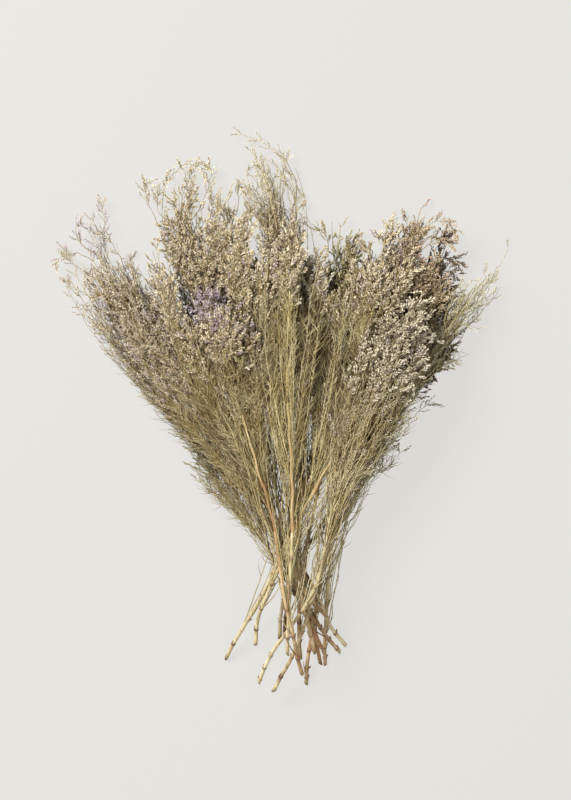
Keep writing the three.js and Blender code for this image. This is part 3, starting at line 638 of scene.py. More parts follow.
def lay_stem(stem, heap):
    """Lays a stem, and gives its stalk, its ring nodes, the strands of its spray and its whole path."""
    random = random_from(stem["seed"])
    places = stem["stalk"] + stem["spray"]
    route = route_of(through(np.array(places, float) - CENTRE, DIVISIONS["stem"]))
    crown_share = (len(stem["stalk"]) - 1) / (len(places) - 1)
    crown = route["distances"][math.floor(DIVISIONS["stem"] * crown_share + 0.5)]
    stalk, knots = stalk_stations(route, crown - FACE_GAP, random)
    plume = {"radius": stem["plume"], "length": stem["florets"]}
    fork_plume = {"radius": FORK_SIZE * stem["plume"], "length": FORK_SIZE * stem["florets"]}
    rachis = plume_stations(route, crown, RACHIS_RADIUS, plume, RACHIS_ROOM, random)
    whole = stalk + [{**station, "s": station["s"] + crown} for station in rachis]
    lay(whole, heap)
    for station, laid in zip(rachis, whole[len(stalk):]):
        station["z"] = laid["z"]
    own = Heap(-math.inf)
    strands = [path_of(route, crown, rachis, RACHIS_RADIUS, "rachis")]
    laid = [rachis]
    offsets, lower = branch_offsets(BRANCHES)
    for i, offset in enumerate(offsets):
        if i == lower:
            stamp(rachis, own, 1)
        branch, root_height = branch_route(stem, route, crown, rachis, offset, random)
        stations = plume_stations(branch, 0, BRANCH_RADIUS, plume, NO_ROOM, random)
        lay(stations, heap, own, root_height)
        stamp(stations, own, PLUME_OVERLAP)
        strands.append({**path_of(branch, 0, stations, BRANCH_RADIUS, "branch"), "offset": offset})
        laid.append(stations)
        if i % 2 == 1:
            continue
        fork, root_height = fork_route(branch, stations, random)
        twig = plume_stations(fork, 0, FORK_RADIUS, fork_plume, NO_ROOM, random)
        lay(twig, heap, own, root_height)
        stamp(twig, own, PLUME_OVERLAP)
        strands.append(path_of(fork, 0, twig, FORK_RADIUS, "fork"))
        laid.append(twig)
    for stations in [stalk, *laid]:
        stamp(stations, heap, 1)
    whole_path = path_of(route, 0, whole, STALK_RADIUS, "whole")
    return path_of(route, 0, stalk, STALK_RADIUS, "stalk"), knots, strands, {**whole_path, "crown": crown}


# ---- Smooth lines in space -----------------------------------------
def path_of(route, start, stations, radius, kind):
    """A strand as a smooth line in space: its points, one every PATH_STEP or so."""
    length = stations[-1]["s"]
    count = max(FEWEST_POINTS, round(length / PATH_STEP))
    s = np.linspace(0, length, count)
    distances = np.array(route["distances"])
    points = np.array(route["points"])
    xy = [np.interp(start + s, distances, points[:, axis]) for axis in (0, 1)]
    z = np.interp(s, [station["s"] for station in stations], [station["z"] for station in stations])
    padded = np.pad(z, PATH_BLUR, mode="reflect", reflect_type="odd")
    window = np.hanning(2 * PATH_BLUR + 3)[1:-1]
    z = np.convolve(padded, window / window.sum(), mode="valid")
    return {"s": s, "length": length, "points": np.column_stack([*xy, z]), "radius": radius, "kind": kind}


def on_path(path, s):
    """Points on a path, and the directions forward and to the right there, for an array of distances."""
    s = np.asarray(s, float)
    points = path["points"]
    inside = np.clip(s, 0, path["length"])
    here = np.stack([np.interp(inside, path["s"], points[:, axis]) for axis in range(3)], axis=-1)
    slope = np.gradient(points, path["s"], axis=0)
    forward = np.stack([np.interp(inside, path["s"], slope[:, axis]) for axis in range(3)], axis=-1)
    forward = unit(forward)
    here = here + forward * (s - inside)[..., None]
    right = unit(np.cross(forward, UP))
    return here, forward, right


def unit(vectors):
    return vectors / np.maximum(np.linalg.norm(vectors, axis=-1, keepdims=True), 1e-9)


class Canopy:
    """How high the fine parts reach, cell by cell, for the painted shade between them."""

    def __init__(self):
        self.tops = np.zeros((FIELD["rows"], FIELD["columns"]))

    def cell(self, points):
        column = ((points[:, 0] - FIELD["left"]) / CELL).astype(int)
        row = ((points[:, 1] - FIELD["bottom"]) / CELL).astype(int)
        return np.clip(row, 0, FIELD["rows"] - 1), np.clip(column, 0, FIELD["columns"] - 1)

    def cover(self, points):
        np.maximum.at(self.tops, self.cell(points), points[:, 2])

    def soften(self):
        near = [(i, j) for i in (-1, 0, 1) for j in (-1, 0, 1)]
        for _ in range(SHADE_BLUR):
            self.tops = sum(np.roll(self.tops, step, (0, 1)) for step in near) / len(near)

    def depth(self, points):
        """From 0 at the top to 1 deep in the bunch."""
        return np.clip(np.interp(self.tops[self.cell(points)] - points[:, 2], SHADE_DEPTH, (0, 1)), 0, 1)


# ---- Meshes --------------------------------------------------------
def coded(*codes):
    return np.stack(np.broadcast_arrays(*codes), axis=-1)


class Tubes:
    """Many tubes gathered into one mesh, with a colour code at each vertex. Their feet are open."""

    def __init__(self):
        self.vertices, self.faces, self.codes, self.count = [], [], [], 0

    def add(self, points, radii, codes, sides, tips=None):
        """points: (tubes, rings, 3); radii: (tubes, rings); codes: (tubes, rings, 3); tips: (tubes, 3)."""
        tubes, rings = radii.shape
        height = np.maximum(points[..., 2], radii + LOWEST)
        points = np.concatenate([points[..., :2], height[..., None]], axis=-1)
        forward = unit(np.gradient(points, axis=1) if rings > 1 else tips[:, None] - points)
        right = unit(np.cross(forward, UP))
        above = np.cross(right, forward)
        angles = 2 * np.pi * np.arange(sides) / sides
        rim = np.sin(angles)[:, None] * right[:, :, None] + np.cos(angles)[:, None] * above[:, :, None]
        body = points[:, :, None, :] + radii[:, :, None, None] * rim
        if tips is None:
            tips = points[:, -1] + forward[:, -1] * radii[:, -1:]
        size = rings * sides + 1
        vertices = np.concatenate([body.reshape(tubes, -1, 3), tips[:, None]], axis=1)
        ring = np.arange(sides)
        following = (ring + 1) % sides
        faces = []
        for r in range(rings - 1):
            low, high = r * sides, (r + 1) * sides
            faces.append(np.column_stack([low + ring, low + following, high + following]))
            faces.append(np.column_stack([low + ring, high + following, high + ring]))
        last = (rings - 1) * sides
        faces.append(np.column_stack([last + ring, last + following, np.full(sides, rings * sides)]))
        faces = np.concatenate(faces)
        offsets = self.count + size * np.arange(tubes)
        self.faces.append((faces[None] + offsets[:, None, None]).reshape(-1, 3))
        self.vertices.append(vertices.reshape(-1, 3))
        body_codes = np.repeat(codes[:, :, None, :], sides, axis=2).reshape(tubes, -1, 3)
        self.codes.append(np.concatenate([body_codes, codes[:, -1:]], axis=1).reshape(-1, 3))
        self.count += tubes * size

    def join(self, other):
        self.vertices += other.vertices
        self.faces += [faces + self.count for faces in other.faces]
        self.codes += other.codes
        self.count += other.count

    def arrays(self):
        return np.concatenate(self.vertices), np.concatenate(self.faces), np.concatenate(self.codes)


def mesh_object(name, vertices, faces, codes, depth, material):
    """A piece made of triangles. Its colour attribute holds the three codes and the depth in the bunch,
    which sets the painted shade.
    """
    vertices = vertices.copy()
    vertices[:, 2] = np.maximum(vertices[:, 2], LOWEST)
    mesh = bpy.data.meshes.new(name)
    mesh.vertices.add(len(vertices))
    mesh.vertices.foreach_set("co", (vertices * MM).astype(np.float32).ravel())
    mesh.loops.add(faces.size)
    mesh.loops.foreach_set("vertex_index", faces.astype(np.int32).ravel())
    mesh.polygons.add(len(faces))
    mesh.polygons.foreach_set("loop_start", np.arange(0, faces.size, 3, dtype=np.int32))
    mesh.update(calc_edges=True)
    colour = mesh.color_attributes.new("code", "FLOAT_COLOR", "POINT")
    colour.data.foreach_set("color", np.column_stack([codes, depth]).astype(np.float32).ravel())
    mesh.polygons.foreach_set("use_smooth", np.ones(len(faces), dtype=bool))
    mesh.materials.append(material)
    piece = bpy.data.objects.new(name, mesh)
    bpy.context.scene.collection.objects.link(piece)
    return piece


def florets(blooms, kind, rng):
    """Small papery cups on pointed feet: vertices, faces and codes (tone, height in the floret, petal).

    A row of blooms holds a foot, a direction, a size and the tone of the head.
    """
    feet, directions, sizes, heads = blooms[:, :3], unit(blooms[:, 3:6]), blooms[:, 6], blooms[:, 7]
    count = len(feet)
    lengths, widths = FLORET["length"] * sizes, FLORET["width"] * sizes
    share = np.full(count, kind["petals"])
    for place, radius in LILAC:
        away = np.linalg.norm(feet[:, :2] - (np.array(place) - CENTRE), axis=1) / radius
        share = np.maximum(share, LILAC_EDGE - away)
    petals = (heads < share).astype(float) * rng.uniform(*FLORET["petal"], count)
    tones = np.clip((1 - HEAD_TONE) * rng.uniform(0, 1, count) + HEAD_TONE * heads, 0, 1)
    helper = unit(np.cross(directions, UP) + 1e-6)
    other = np.cross(directions, helper)
    corners = np.arange(FLORET["corners"])
    angle = rng.uniform(0, 2 * np.pi, (count, 1)) + 2 * np.pi * corners / len(corners)
    rise = lengths[:, None] * (1 + FLORET["uneven"] * rng.uniform(-1, 1, (count, len(corners))))
    spoke = np.cos(angle)[..., None] * helper[:, None] + np.sin(angle)[..., None] * other[:, None]
    rim = feet[:, None] + rise[..., None] * directions[:, None] + 0.5 * widths[:, None, None] * spoke
    vertices = np.concatenate([feet[:, None], rim], axis=1)
    vertices[:, :, 2] += np.maximum(LOWEST - vertices[:, :, 2].min(axis=1), 0)[:, None]
    size = 1 + len(corners)
    faces = np.column_stack([0 * corners, np.roll(1 + corners, -1), 1 + corners])
    heights = np.append(0, np.ones(len(corners)))
    codes = coded(tones[:, None], heights, petals[:, None])
    all_faces = (faces[None] + size * np.arange(count)[:, None, None]).reshape(-1, 3)
    return vertices.reshape(-1, 3), all_faces, codes.reshape(-1, 3)


# ---- Growing a spray -----------------------------------------------
def twigs_beside(path, roots, tips, aside, above, rings, rng):
    """Thin twigs that leave a path and run beside it: points (twigs, rings, 3)."""
    root, root_forward, root_right = on_path(path, roots)
    tip, tip_forward, tip_right = on_path(path, tips)
    reach = (tips - roots)[:, None]
    aside, above = aside[:, None], above[:, None]
    half = BESIDE["half"]
    second = root + root_forward * BESIDE["leave"] * reach + root_right * half * aside + UP * half * above
    third = tip - tip_forward * BESIDE["follow"] * reach + tip_right * aside + UP * above
    fourth = tip + tip_right * aside * rng.uniform(*BESIDE["fan"], aside.shape) + UP * above
    t = np.linspace(0, 1, rings)[None, :, None]
    return bezier(root[:, None], second[:, None], third[:, None], fourth[:, None], t)


def twigs_between(first, second, count, rings, rng):
    """Thin twigs that run between two neighbouring branches: points (twigs, rings, 3)."""
    t = np.linspace(0, 1, rings) * rng.uniform(*BETWEEN["reach"], (count, 1))
    weight = ((np.arange(count) + rng.uniform(*BETWEEN["place"], count)) / count)[:, None, None]
    weight = weight + rng.uniform(-BETWEEN["stray"], BETWEEN["stray"], (count, 1, 1)) * t[..., None]
    a, _, _ = on_path(first, t * first["length"])
    b, _, _ = on_path(second, t * second["length"])
    return mix(a, b, weight) - UP * rng.uniform(0, BETWEEN["sag"], (count, 1, 1)) * t[..., None]


def nearest(strands, place):
    """The point of a spray's strands that is nearest to a place, seen from above."""
    near = np.concatenate([path["points"] for path in strands])
    return near[np.linalg.norm(near[:, :2] - place, axis=1).argmin()]


def placed_by_hand(places):
    """A smooth line through places of the layout, and the share of its length at each point."""
    xy = through(np.array(places, float) - CENTRE, PLACED_STEPS * (len(places) - 1))
    return xy, np.linspace(0, 1, len(xy))


def sprig_on(strands, places):
    """A sprig along listed places that starts on the nearest strand of its spray: points (rings, 3)."""
    xy, share = placed_by_hand(places)
    start = nearest(strands, xy[0])
    height = start[2] + SPRIG_RISE * np.sin(np.pi * 0.75 * share)
    points = np.column_stack([xy, height])
    points[0] = start
    return points


def wisps_on(strands, places, rng):
    """Thin twigs along listed places at the height of the strands next to them: (twigs, rings, 3)."""
    xy, share = placed_by_hand(places)
    z = np.array([nearest(strands, place)[2] for place in xy])
    z = np.convolve(np.pad(z, 2, mode="edge"), np.ones(5) / 5, mode="valid")
    twigs = []
    for _ in range(TWIGS["wisp"]["count"]):
        along = share * rng.uniform(*WISP["reach"])
        offset = rng.normal(0, WISP["side"], 2) * along[:, None] ** 0.7
        line = [np.interp(along, share, xy[:, axis]) + offset[:, axis] for axis in (0, 1)]
        height = np.interp(along, share, z) + rng.uniform(0, WISP["rise"]) * along
        twigs.append(np.column_stack([*line, height]))
    return np.array(twigs)


def roughened(points, zigzag, curl, rng):
    """Twigs that zigzag a little from shoot to shoot, and curl towards their tips."""
    count, rings = points.shape[:2]
    t = np.linspace(0, 1, rings)[None, :, None]
    jitter = rng.normal(0, zigzag, (count, rings, 3)) * np.minimum(1, SWAY["from"] * t)
    forward = unit(points[:, -1] - points[:, 0])
    right = unit(np.cross(forward, UP))[:, None]
    phase = rng.uniform(0, 2 * np.pi, (count, 1, 1))
    waves = rng.uniform(*SWAY["waves"], (count, 1, 1))
    sway = np.sin(phase + 2 * np.pi * waves * t) * t * curl
    lean = np.cos(phase * 2 + 2 * np.pi * waves * t) * t * curl * SWAY["lean"]
    hook = rng.uniform(-SWAY["hook"], SWAY["hook"], (count, 1, 1)) * curl * t**4
    return points + jitter + (sway + hook) * right + lean * UP


def side_shoots(points, per_twig, span, rng):
    """Short shoots that leave the sides of twigs: starts, directions forward and outward, and lengths."""
    count, rings = points.shape[:2]
    places = rng.uniform(*span, (count, per_twig)) * (rings - 1)
    low = np.minimum(places.astype(int), rings - 2)
    index = np.arange(count)[:, None]
    start = mix(points[index, low], points[index, low + 1], (places - low)[..., None]).reshape(-1, 3)
    forward = unit(points[index, low + 1] - points[index, low]).reshape(-1, 3)
    right = unit(np.cross(forward, UP))
    side = rng.choice([-1.0, 1.0], (len(start), 1))
    out = unit(right * side + UP * rng.uniform(*SHOOT["up"], (len(start), 1)))
    return start, forward, out, rng.uniform(*SHOOT_LENGTH, (len(start), 1))


def along_shoots(shoots, shares):
    """Points along shoots, which bend to run with their twig, and the directions there."""
    start, forward, out, length = (part[:, None] for part in shoots)
    t = np.asarray(shares)[None, :, None]
    ahead, on, aside, back = (SHOOT[key] for key in ("ahead", "on", "out", "back"))
    points = start + length * (forward * (ahead * t + on * t**2) + out * (aside * t - back * t**2))
    return points, unit(forward * (ahead + 2 * on * t) + out * (aside - 2 * back * t))


def add_shoots(shoots, radius, rings, tubes, rng):
    """Draws side shoots as thin spikes with a number of rings below the tip."""
    points, _ = along_shoots(shoots, np.linspace(0, 1, rings + 1))
    count = len(points)
    radii = radius * np.linspace(1, SHOOT_TAPER, rings)[None] * rng.uniform(*UNEVEN_SHOOTS, (count, 1))
    tones = rng.uniform(0, 1, (count, 1))
    codes = coded(tones, 0, np.zeros((1, rings)))
    tubes.add(points[:, :rings], radii, codes, 3, points[:, rings])


def add_florets(shoots, size, blooms, rng):
    """Florets along side shoots, the last one at the tip."""
    feet, ahead = along_shoots(shoots, np.linspace(ON_SHOOT["from"], ON_SHOOT["to"], FLORETS))
    shape = feet.shape[:2] + (1,)
    sides = np.resize((1.0, ON_SHOOT["far_side"]), FLORETS)[None, :, None]
    lean = ahead + shoots[2][:, None] * sides * rng.uniform(*ON_SHOOT["aside"], shape)
    lean = lean + UP * rng.uniform(*ON_SHOOT["up"], shape)
    heads = np.repeat(rng.uniform(0, 1, len(feet)), FLORETS)
    sizes = size * rng.uniform(*FLORET["sizes"], shape)
    blooms.append(np.column_stack([feet.reshape(-1, 3), lean.reshape(-1, 3), sizes.reshape(-1), heads]))


def scattered(name, count, rng):
    """For each twig of a group, values drawn from the group's ranges: a dict of arrays."""
    return {key: rng.uniform(*ends, count) for key, ends in TWIGS[name].items() if isinstance(ends, tuple)}


def group_beside(name, path, roots, tips, at, rng):
    """A group of twigs beside a path, to the right and the left in turn."""
    aside = np.resize((1, -1), len(roots)) * at["aside"]
    return name, twigs_beside(path, roots, tips, aside, at["above"], TWIGS[name]["rings"], rng)


def draw_strand(path, stem, tubes, rng):
    """Draws a rachis, branch or fork, and gives its last rings as a group that carries shoots."""
    share = np.append(path["s"][:-1:TRUNK_STEP], path["length"]) / path["length"]
    trunk, _, right = on_path(path, share * path["length"])
    root, tip = path["radius"]
    thin = mix(root, tip * FINE_TIP, share)
    woody, ringed = np.zeros_like(share), np.zeros_like(share)
    if path["kind"] == "rachis" and stem["name"] in WOODY:
        woody = np.clip(WOODY_BARK["foot"] - WOODY_BARK["fall"] * share, 0, 1)
        rise = np.sin(np.pi * np.clip(share / WOODY_RISE["to"], 0, 1)) * WOODY_RISE["height"]
        joint = np.arange(len(share)) % WOODY_JOINTS["every"]
        bend = WOODY_JOINTS["bend"] * np.where(joint < WOODY_JOINTS["every"] / 2, 1, -1)
        trunk = trunk + rise[:, None] * UP + (woody * KINK * bend)[:, None] * right
        thin = thin * np.where(joint == 1, WOODY_JOINTS["swell"], WOODY_JOINTS["between"])
        ringed = np.where(joint == 1, 1.0, 0.0)
    elif path["kind"] == "rachis":
        slim = SLIM_RACHIS["share"]
        thin = thin * np.clip(mix(slim, 1, 1 - SLIM_RACHIS["fall"] * share), slim, 1)
    else:
        thin = thin * FINE_BRANCH
    tone = AGES.get(stem["name"], YOUNG) if woody.any() else rng.uniform(0.4, 1.0)
    tubes.add(trunk[None], thin[None], coded(tone, ringed, woody)[None], STRAND_SIDES)
    return "trunk", trunk[None, -TRUNK_END:]


def grow_along(path, kind, rng):
    """The long and the short twigs beside a strand, as two groups."""
    length = path["length"]
    size = kind["twigs"] * (FORK_TWIGS if path["kind"] == "fork" else 1)
    at = scattered("long", max(FEWEST["long"], round(TWIGS["long"]["count"] * size)), rng)
    roots = length * at["root"]
    tips = np.maximum(length * at["tip"], roots + LONG_TWIG_SHORTEST)
    yield group_beside("long", path, roots, tips, at, rng)

    count = TWIGS["short"]["count"] * size * length / SHORT_TWIG["strand"]
    at = scattered("short", max(FEWEST["short"], round(count)), rng)
    roots = length * at["root"]
    tips = np.maximum(np.minimum(roots + at["length"], length * at["tip"]), roots + SHORT_TWIG["shortest"])
    yield group_beside("short", path, roots, tips, at, rng)


def twig_groups(stem, strands, whole, kind, tubes, rng):
    """All the twigs of a spray, as groups: a name, and points (twigs, rings, 3)."""
    for path in strands:
        yield draw_strand(path, stem, tubes, rng)
        yield from grow_along(path, kind, rng)
    branches = [path for path in strands if path["kind"] == "branch"]
    branches.sort(key=lambda path: path["offset"])
    between = TWIGS["between"]
    for first, second in zip(branches, branches[1:]):
        count = max(1, round(between["count"] * kind["twigs"]))
        yield "between", twigs_between(first, second, count, between["rings"], rng)

    foot, crown = strands[0], whole["crown"]
    at = scattered("foot", TWIGS["foot"]["count"], rng)
    roots, tips = foot["length"] * at["root"], foot["length"] * at["tip"]
    yield group_beside("foot", foot, roots, tips, at, rng)
    if stem["spread"] > STRAY["spread"]:
        at = scattered("stray", TWIGS["stray"]["count"], rng)
        roots, tips = foot["length"] * at["root"], foot["length"] * at["tip"]
        aside = stem["spread"] * (at["aside"] + STRAY["bias"] * stem["bias"])
        yield "stray", twigs_beside(foot, roots, tips, aside, at["above"], TWIGS["stray"]["rings"], rng)
    at = scattered("low", TWIGS["low"]["count"], rng)
    roots = np.maximum(crown - at["root"], LOWEST_TWIG)
    yield group_beside("low", whole, roots, crown + at["tip"], at, rng)
    for places in SPRIGS.get(stem["name"], ()):
        yield "sprig", sprig_on(strands, places)[None]
    for places in WISPS.get(stem["name"], ()):
        yield "wisp", wisps_on(strands, places, rng)


def draw_twigs(name, points, kind, tubes, rng):
    """Draws a group of twigs as thin tubes, and gives their points as they are drawn."""
    curl = TWIGS[name]["curl"] * (1 if name in (*PALE_TWIGS, "sprig") else kind["curl"])
    points = roughened(points, ZIGZAG * (SPRIG["zigzag"] if name == "sprig" else 1), curl, rng)
    count, rings = points.shape[:2]
    radii = TWIGS[name]["radius"] * np.linspace(1, TWIG_TIP, rings)[None]
    radii = radii * rng.uniform(*UNEVEN_TWIGS, (count, 1))
    tones = rng.uniform(*TWIG_TONES["pale" if name in PALE_TWIGS else "usual"], (count, 1))
    tubes.add(points, radii, coded(tones, 0, np.zeros((1, rings))), TWIG_SIDES)
    return points


def grow_spray(stem, strands, whole, kind, rng):
    """The twigs of a spray as tubes, and its florets as rows: foot, direction, size and the head's tone."""
    tubes, blooms = Tubes(), []
    rachis = strands[0]["points"]
    crown, reach = rachis[0], np.linalg.norm(rachis[-1] - rachis[0])
    for name, points in list(twig_groups(stem, strands, whole, kind, tubes, rng)):
        sprig = name == "sprig"
        if name != "trunk":
            points = draw_twigs(name, points, kind, tubes, rng)
        count = max(FEWEST["shoots"], round(TWIGS[name]["shoots"] * kind["twigs"]))
        shoots = side_shoots(points, count, SPRIG["span"] if sprig else SHOOT_SPAN, rng)
        count = len(shoots[0])
        place = np.linalg.norm(shoots[0] - crown, axis=1) / reach + rng.normal(0, HEAD_EDGE, count)
        on_head = place > kind["head"]
        chance = rng.uniform(0, 1, count)
        flowered = on_head & (chance < (1 if sprig else HEAD_SHOOTS * kind["flowered"]))
        tufts = ~on_head & (place > TUFTS["from"]) & (chance > 1 - TUFTS["share"])
        leafy = rng.uniform(0, 1, count) < np.clip((place - FULL["root"]) / FULL["over"], FULL["least"], 1)
        bent = ~on_head & leafy & (chance < LONG_SHOOTS)
        straight = ~on_head & leafy & (chance > LONG_SHOOTS) | on_head & (chance > HEAD_SPIKES)
        for chosen, radius, rings, longer in ((flowered, FLORET_SHOOT_RADIUS, 1, 1),
                                              (straight, BARE_SHOOT_RADIUS, 1, 1),
                                              (bent, BARE_SHOOT_RADIUS, 2, LONG_SHOOT)):
            if chosen.any():
                start, forward, out, length = (part[chosen] for part in shoots)
                add_shoots((start, forward, out, longer * length), radius, rings, tubes, rng)
        for chosen, size in ((flowered, SPRIG["floret"] if sprig else 1), (tufts, TUFTS["size"])):
            if chosen.any():
                add_florets([part[chosen] for part in shoots], size * kind["size"], blooms, rng)
    return tubes, np.concatenate(blooms)


# ---- Stalks --------------------------------------------------------
def stalk_rings(path, knots, top, rng):
    """Where a stalk has its larger and smaller rings, and where it's drawn, closer together at the rings."""
    s = np.linspace(0, top, max(12, round(top / STALK_STEP)))
    rings = list(knots)
    stray = SMALL_RINGS["stray"]
    places = np.arange(rng.uniform(*SMALL_RINGS["first"]), path["length"] - stray, SMALL_RINGS["pitch"])
    for place in places + rng.uniform(-stray, stray):
        if min(abs(place - ring) for ring in rings) > SMALL_RINGS["clear"]:
            rings.append(place)
    for middle in rings:
        s = np.append(s, middle + RING_PROFILE)
    s = np.unique(np.clip(s, 0, top))
    return rings, s[np.concatenate([[True], np.diff(s) > CLOSEST_RINGS])]


def add_bud(start, ahead, out, age, tubes):
    share = np.linspace(0, 1, len(BUD["taper"]))[:, None]
    bud = start + (ahead * BUD["ahead"] + out * BUD["out"]) * share * BUD["length"] + out * BUD["radius"]
    code = np.tile([age, BUD["ring"], 0.0], (1, len(share), 1))
    tubes.add(bud[None], BUD["radius"] * np.array([BUD["taper"]]), code, SIDE_SHOOT_SIDES)


def add_stub(start, ahead, out, age, tubes, rng):
    """The dead foot of a side shoot, with a rust-red root."""
    reach = mix(STUB["shortest"], STUB["longest"], rng.uniform() ** STUB["short"])
    share = np.linspace(0, 1, STUB["rings"])
    line, _ = along_shoots((start, ahead, out * STUB["out"], np.array([[reach]])), share)
    radii = STUB["radius"] * np.linspace(*STUB["taper"], STUB["rings"])
    tubes.add(line, radii[None], coded(age, STUB["ring"] * (1 - share), 0)[None], SIDE_SHOOT_SIDES)


def stalk_mesh(path, knots, age, rng):
    """A stalk with ring nodes, dead side shoots and a slanted, splintered cut end."""
    top = path["length"] + STALK_JOIN
    rings, s = stalk_rings(path, knots, top, rng)
    centres, forward, right = on_path(path, s)
    wander = rng.uniform(0, 2 * np.pi, 2)
    bends = np.array([0, *sorted(knots), top])
    kinks = KINK * np.resize([1, -1], len(bends)) * rng.uniform(0.4, 1, len(bends))
    kinks[-1] = 0
    centres = centres + right * np.interp(s, bends, kinks)[:, None]
    share = np.clip(s / path["length"], 0, 1)
    waves = 1 + WAVES["swell"] * np.sin(s / WAVES["length"] + wander[1])
    radius = SLENDER * mix(*STALK_RADIUS, share) * waves
    near_crown = s > path["length"] - NECK["length"]
    radius = np.where(near_crown, np.minimum(radius, RACHIS_RADIUS[0] * NECK["radius"]), radius)
    knot = np.zeros_like(s)
    tubes = Tubes()
    for middle in rings:
        strength = rng.uniform(RING["faintest"], 1)
        swell = np.exp(-(((s - middle) / RING["length"]) ** 2))
        radius = radius * (1 + mix(*RING["swell"], strength) * swell)
        stain = np.exp(-(((s - middle) / mix(*RING["stain"], rng.uniform() ** 2)) ** 2))
        knot = np.maximum(knot, strength * stain)
        start, ahead, beside_it = on_path(path, np.array([middle]))
        side = rng.choice([-1, 1])
        add_bud(start, ahead, unit(beside_it * side + UP * rng.uniform(0, 0.7)), age, tubes)
        if rng.uniform() < STUB["share"]:
            add_stub(start, ahead, unit(UP * rng.uniform(0.1, 0.8) - beside_it * side), age, tubes, rng)
    body = Tubes()
    body.add(centres[None], radius[None], coded(age, knot, 0)[None], STALK_RING_SIDES)
    add_cut_end(body, centres[0], forward[0], radius[0], rng)
    tubes.join(body)
    return tubes


def add_cut_end(body, centre, forward, radius, rng):
    """Slants and splinters the first ring of a stalk, and closes it with pale pith a little deeper."""
    sides = STALK_RING_SIDES
    angles = 2 * np.pi * np.arange(sides) / sides
    push = radius * CUT_SLANT * np.sin(angles + rng.uniform(0, 2 * np.pi))
    push += rng.uniform(-CUT["splinter"], CUT["splinter"], sides)
    rim = body.vertices[0][:sides] + forward * push[:, None]
    body.vertices[0][:sides] = rim
    inner = mix(rim, centre, CUT["wood"]) + forward * CUT["depth"]
    pith = np.vstack([inner, centre + forward * CUT["pith"]])
    ring = np.arange(sides)
    following = (ring + 1) % sides
    first = body.count
    body.vertices.append(pith)
    body.faces.append(np.column_stack([ring, first + ring, following]))
    body.faces.append(np.column_stack([following, first + ring, first + following]))
    body.faces.append(np.column_stack([first + ring, np.full(sides, first + sides), first + following]))
    body.codes.append(np.tile([0.5, 0, 1.0], (sides + 1, 1)))
    body.count += len(pith)


# ---- Materials -----------------------------------------------------
def linear(colour):
    values = np.array(colour, float) / 255
    return tuple(np.where(values <= 0.04045, values / 12.92, ((values + 0.055) / 1.055) ** 2.4)) + (1.0,)


class Shader:
    """A Principled material with short calls for the nodes that feed it."""

    def __init__(self, name, roughness):
        self.material = bpy.data.materials.new(name)
        self.material.use_nodes = True
        self.nodes = self.material.node_tree.nodes
        self.links = self.material.node_tree.links
        self.principled = self.nodes["Principled BSDF"]
        self.principled.inputs["Roughness"].default_value = roughness

    def node(self, kind, inputs=(), **settings):
        node = self.nodes.new(kind)
        for key, value in settings.items():
            setattr(node, key, value)
        for key, value in dict(inputs).items():
            if isinstance(value, bpy.types.NodeSocket):
                self.links.new(value, node.inputs[key])
            else:
                node.inputs[key].default_value = value
        return node

    def code(self):
        """The values at each vertex: tone or age; height in a floret, or ring node; petal, bark or pith.

        The fourth is the depth in the bunch, for the painted shade.
        """
        attribute = self.node("ShaderNodeAttribute", attribute_name="code")
        self.depth = attribute.outputs["Alpha"]
        return self.node("ShaderNodeSeparateColor", {"Color": attribute.outputs["Color"]}).outputs

    def noise(self, name):
        scale, detail, stretch = (*NOISES[name], (1, 1, 1))[:3]
        place = self.node("ShaderNodeTexCoord").outputs["Object"]
        mapped = self.node("ShaderNodeMapping", {"Vector": place, "Scale": stretch}).outputs[0]
        inputs = {"Vector": mapped, "Scale": scale, "Detail": detail}
        return self.node("ShaderNodeTexNoise", inputs).outputs["Fac"]

    def ramp(self, value, places, colours):
        node = self.node("ShaderNodeValToRGB", {"Fac": value})
        while len(node.color_ramp.elements) < len(places):
            node.color_ramp.elements.new(0.5)
        for element, place, colour in zip(node.color_ramp.elements, places, colours):
            element.position = place
            element.color = linear(colour)
        return node.outputs["Color"]

    def mixed(self, factor, first, second, blend="MIX"):
        sockets = {0: factor, 6: first, 7: second}
        return self.node("ShaderNodeMix", sockets, data_type="RGBA", blend_type=blend).outputs[2]

    def maths(self, operation, first, second):
        return self.node("ShaderNodeMath", {0: first, 1: second}, operation=operation).outputs[0]

    def times(self, first, second):
        return self.maths("MULTIPLY", first, second)

    def weighed(self, name, first, second):
        weights = WEIGHTS[name]
        return self.maths("ADD", self.times(first, weights[0]), self.times(second, weights[1]))

    def bump(self, height, strength, distance):
        node = self.node("ShaderNodeBump", {"Height": height, "Strength": strength, "Distance": distance})
        self.links.new(node.outputs["Normal"], self.principled.inputs["Normal"])

    def colour(self, socket, shade):
        """Sets the colour, with painted shade: browner and darker deep in the bunch, where the fine parts
        shade each other.
        """
        shaded = self.mixed(self.times(self.depth, shade), socket, linear(PAINTED_SHADE), "MULTIPLY")
        self.links.new(shaded, self.principled.inputs["Base Color"])


def floret_material(name, kind):
    """Papery florets: darker at the foot, uneven in tone from head to head, some with petals, and painted
    shade deep in the bunch.
    """
    shader = Shader(f"Statice florets {name}", ROUGHNESS["florets"])
    code = shader.code()
    tone = shader.weighed("floret", code[0], shader.noise("floret"))
    papery = shader.ramp(tone, STOPS["floret"], (kind["dark"], kind["mid"], kind["light"]))
    foot = linear(tuple(mix(a, b, FLORET_FOOT) for a, b in zip(kind["twig"], kind["dark"])))
    rising = shader.mixed(shader.times(code[1], RIM_FROM), foot, papery)
    petal = shader.times(code[2], shader.maths("POWER", code[1], PETAL_FROM))
    shader.colour(shader.mixed(petal, rising, linear(kind["petal"])), SHADED["florets"])
    shader.bump(shader.noise("paper"), *BUMPS["paper"])
    return shader.material


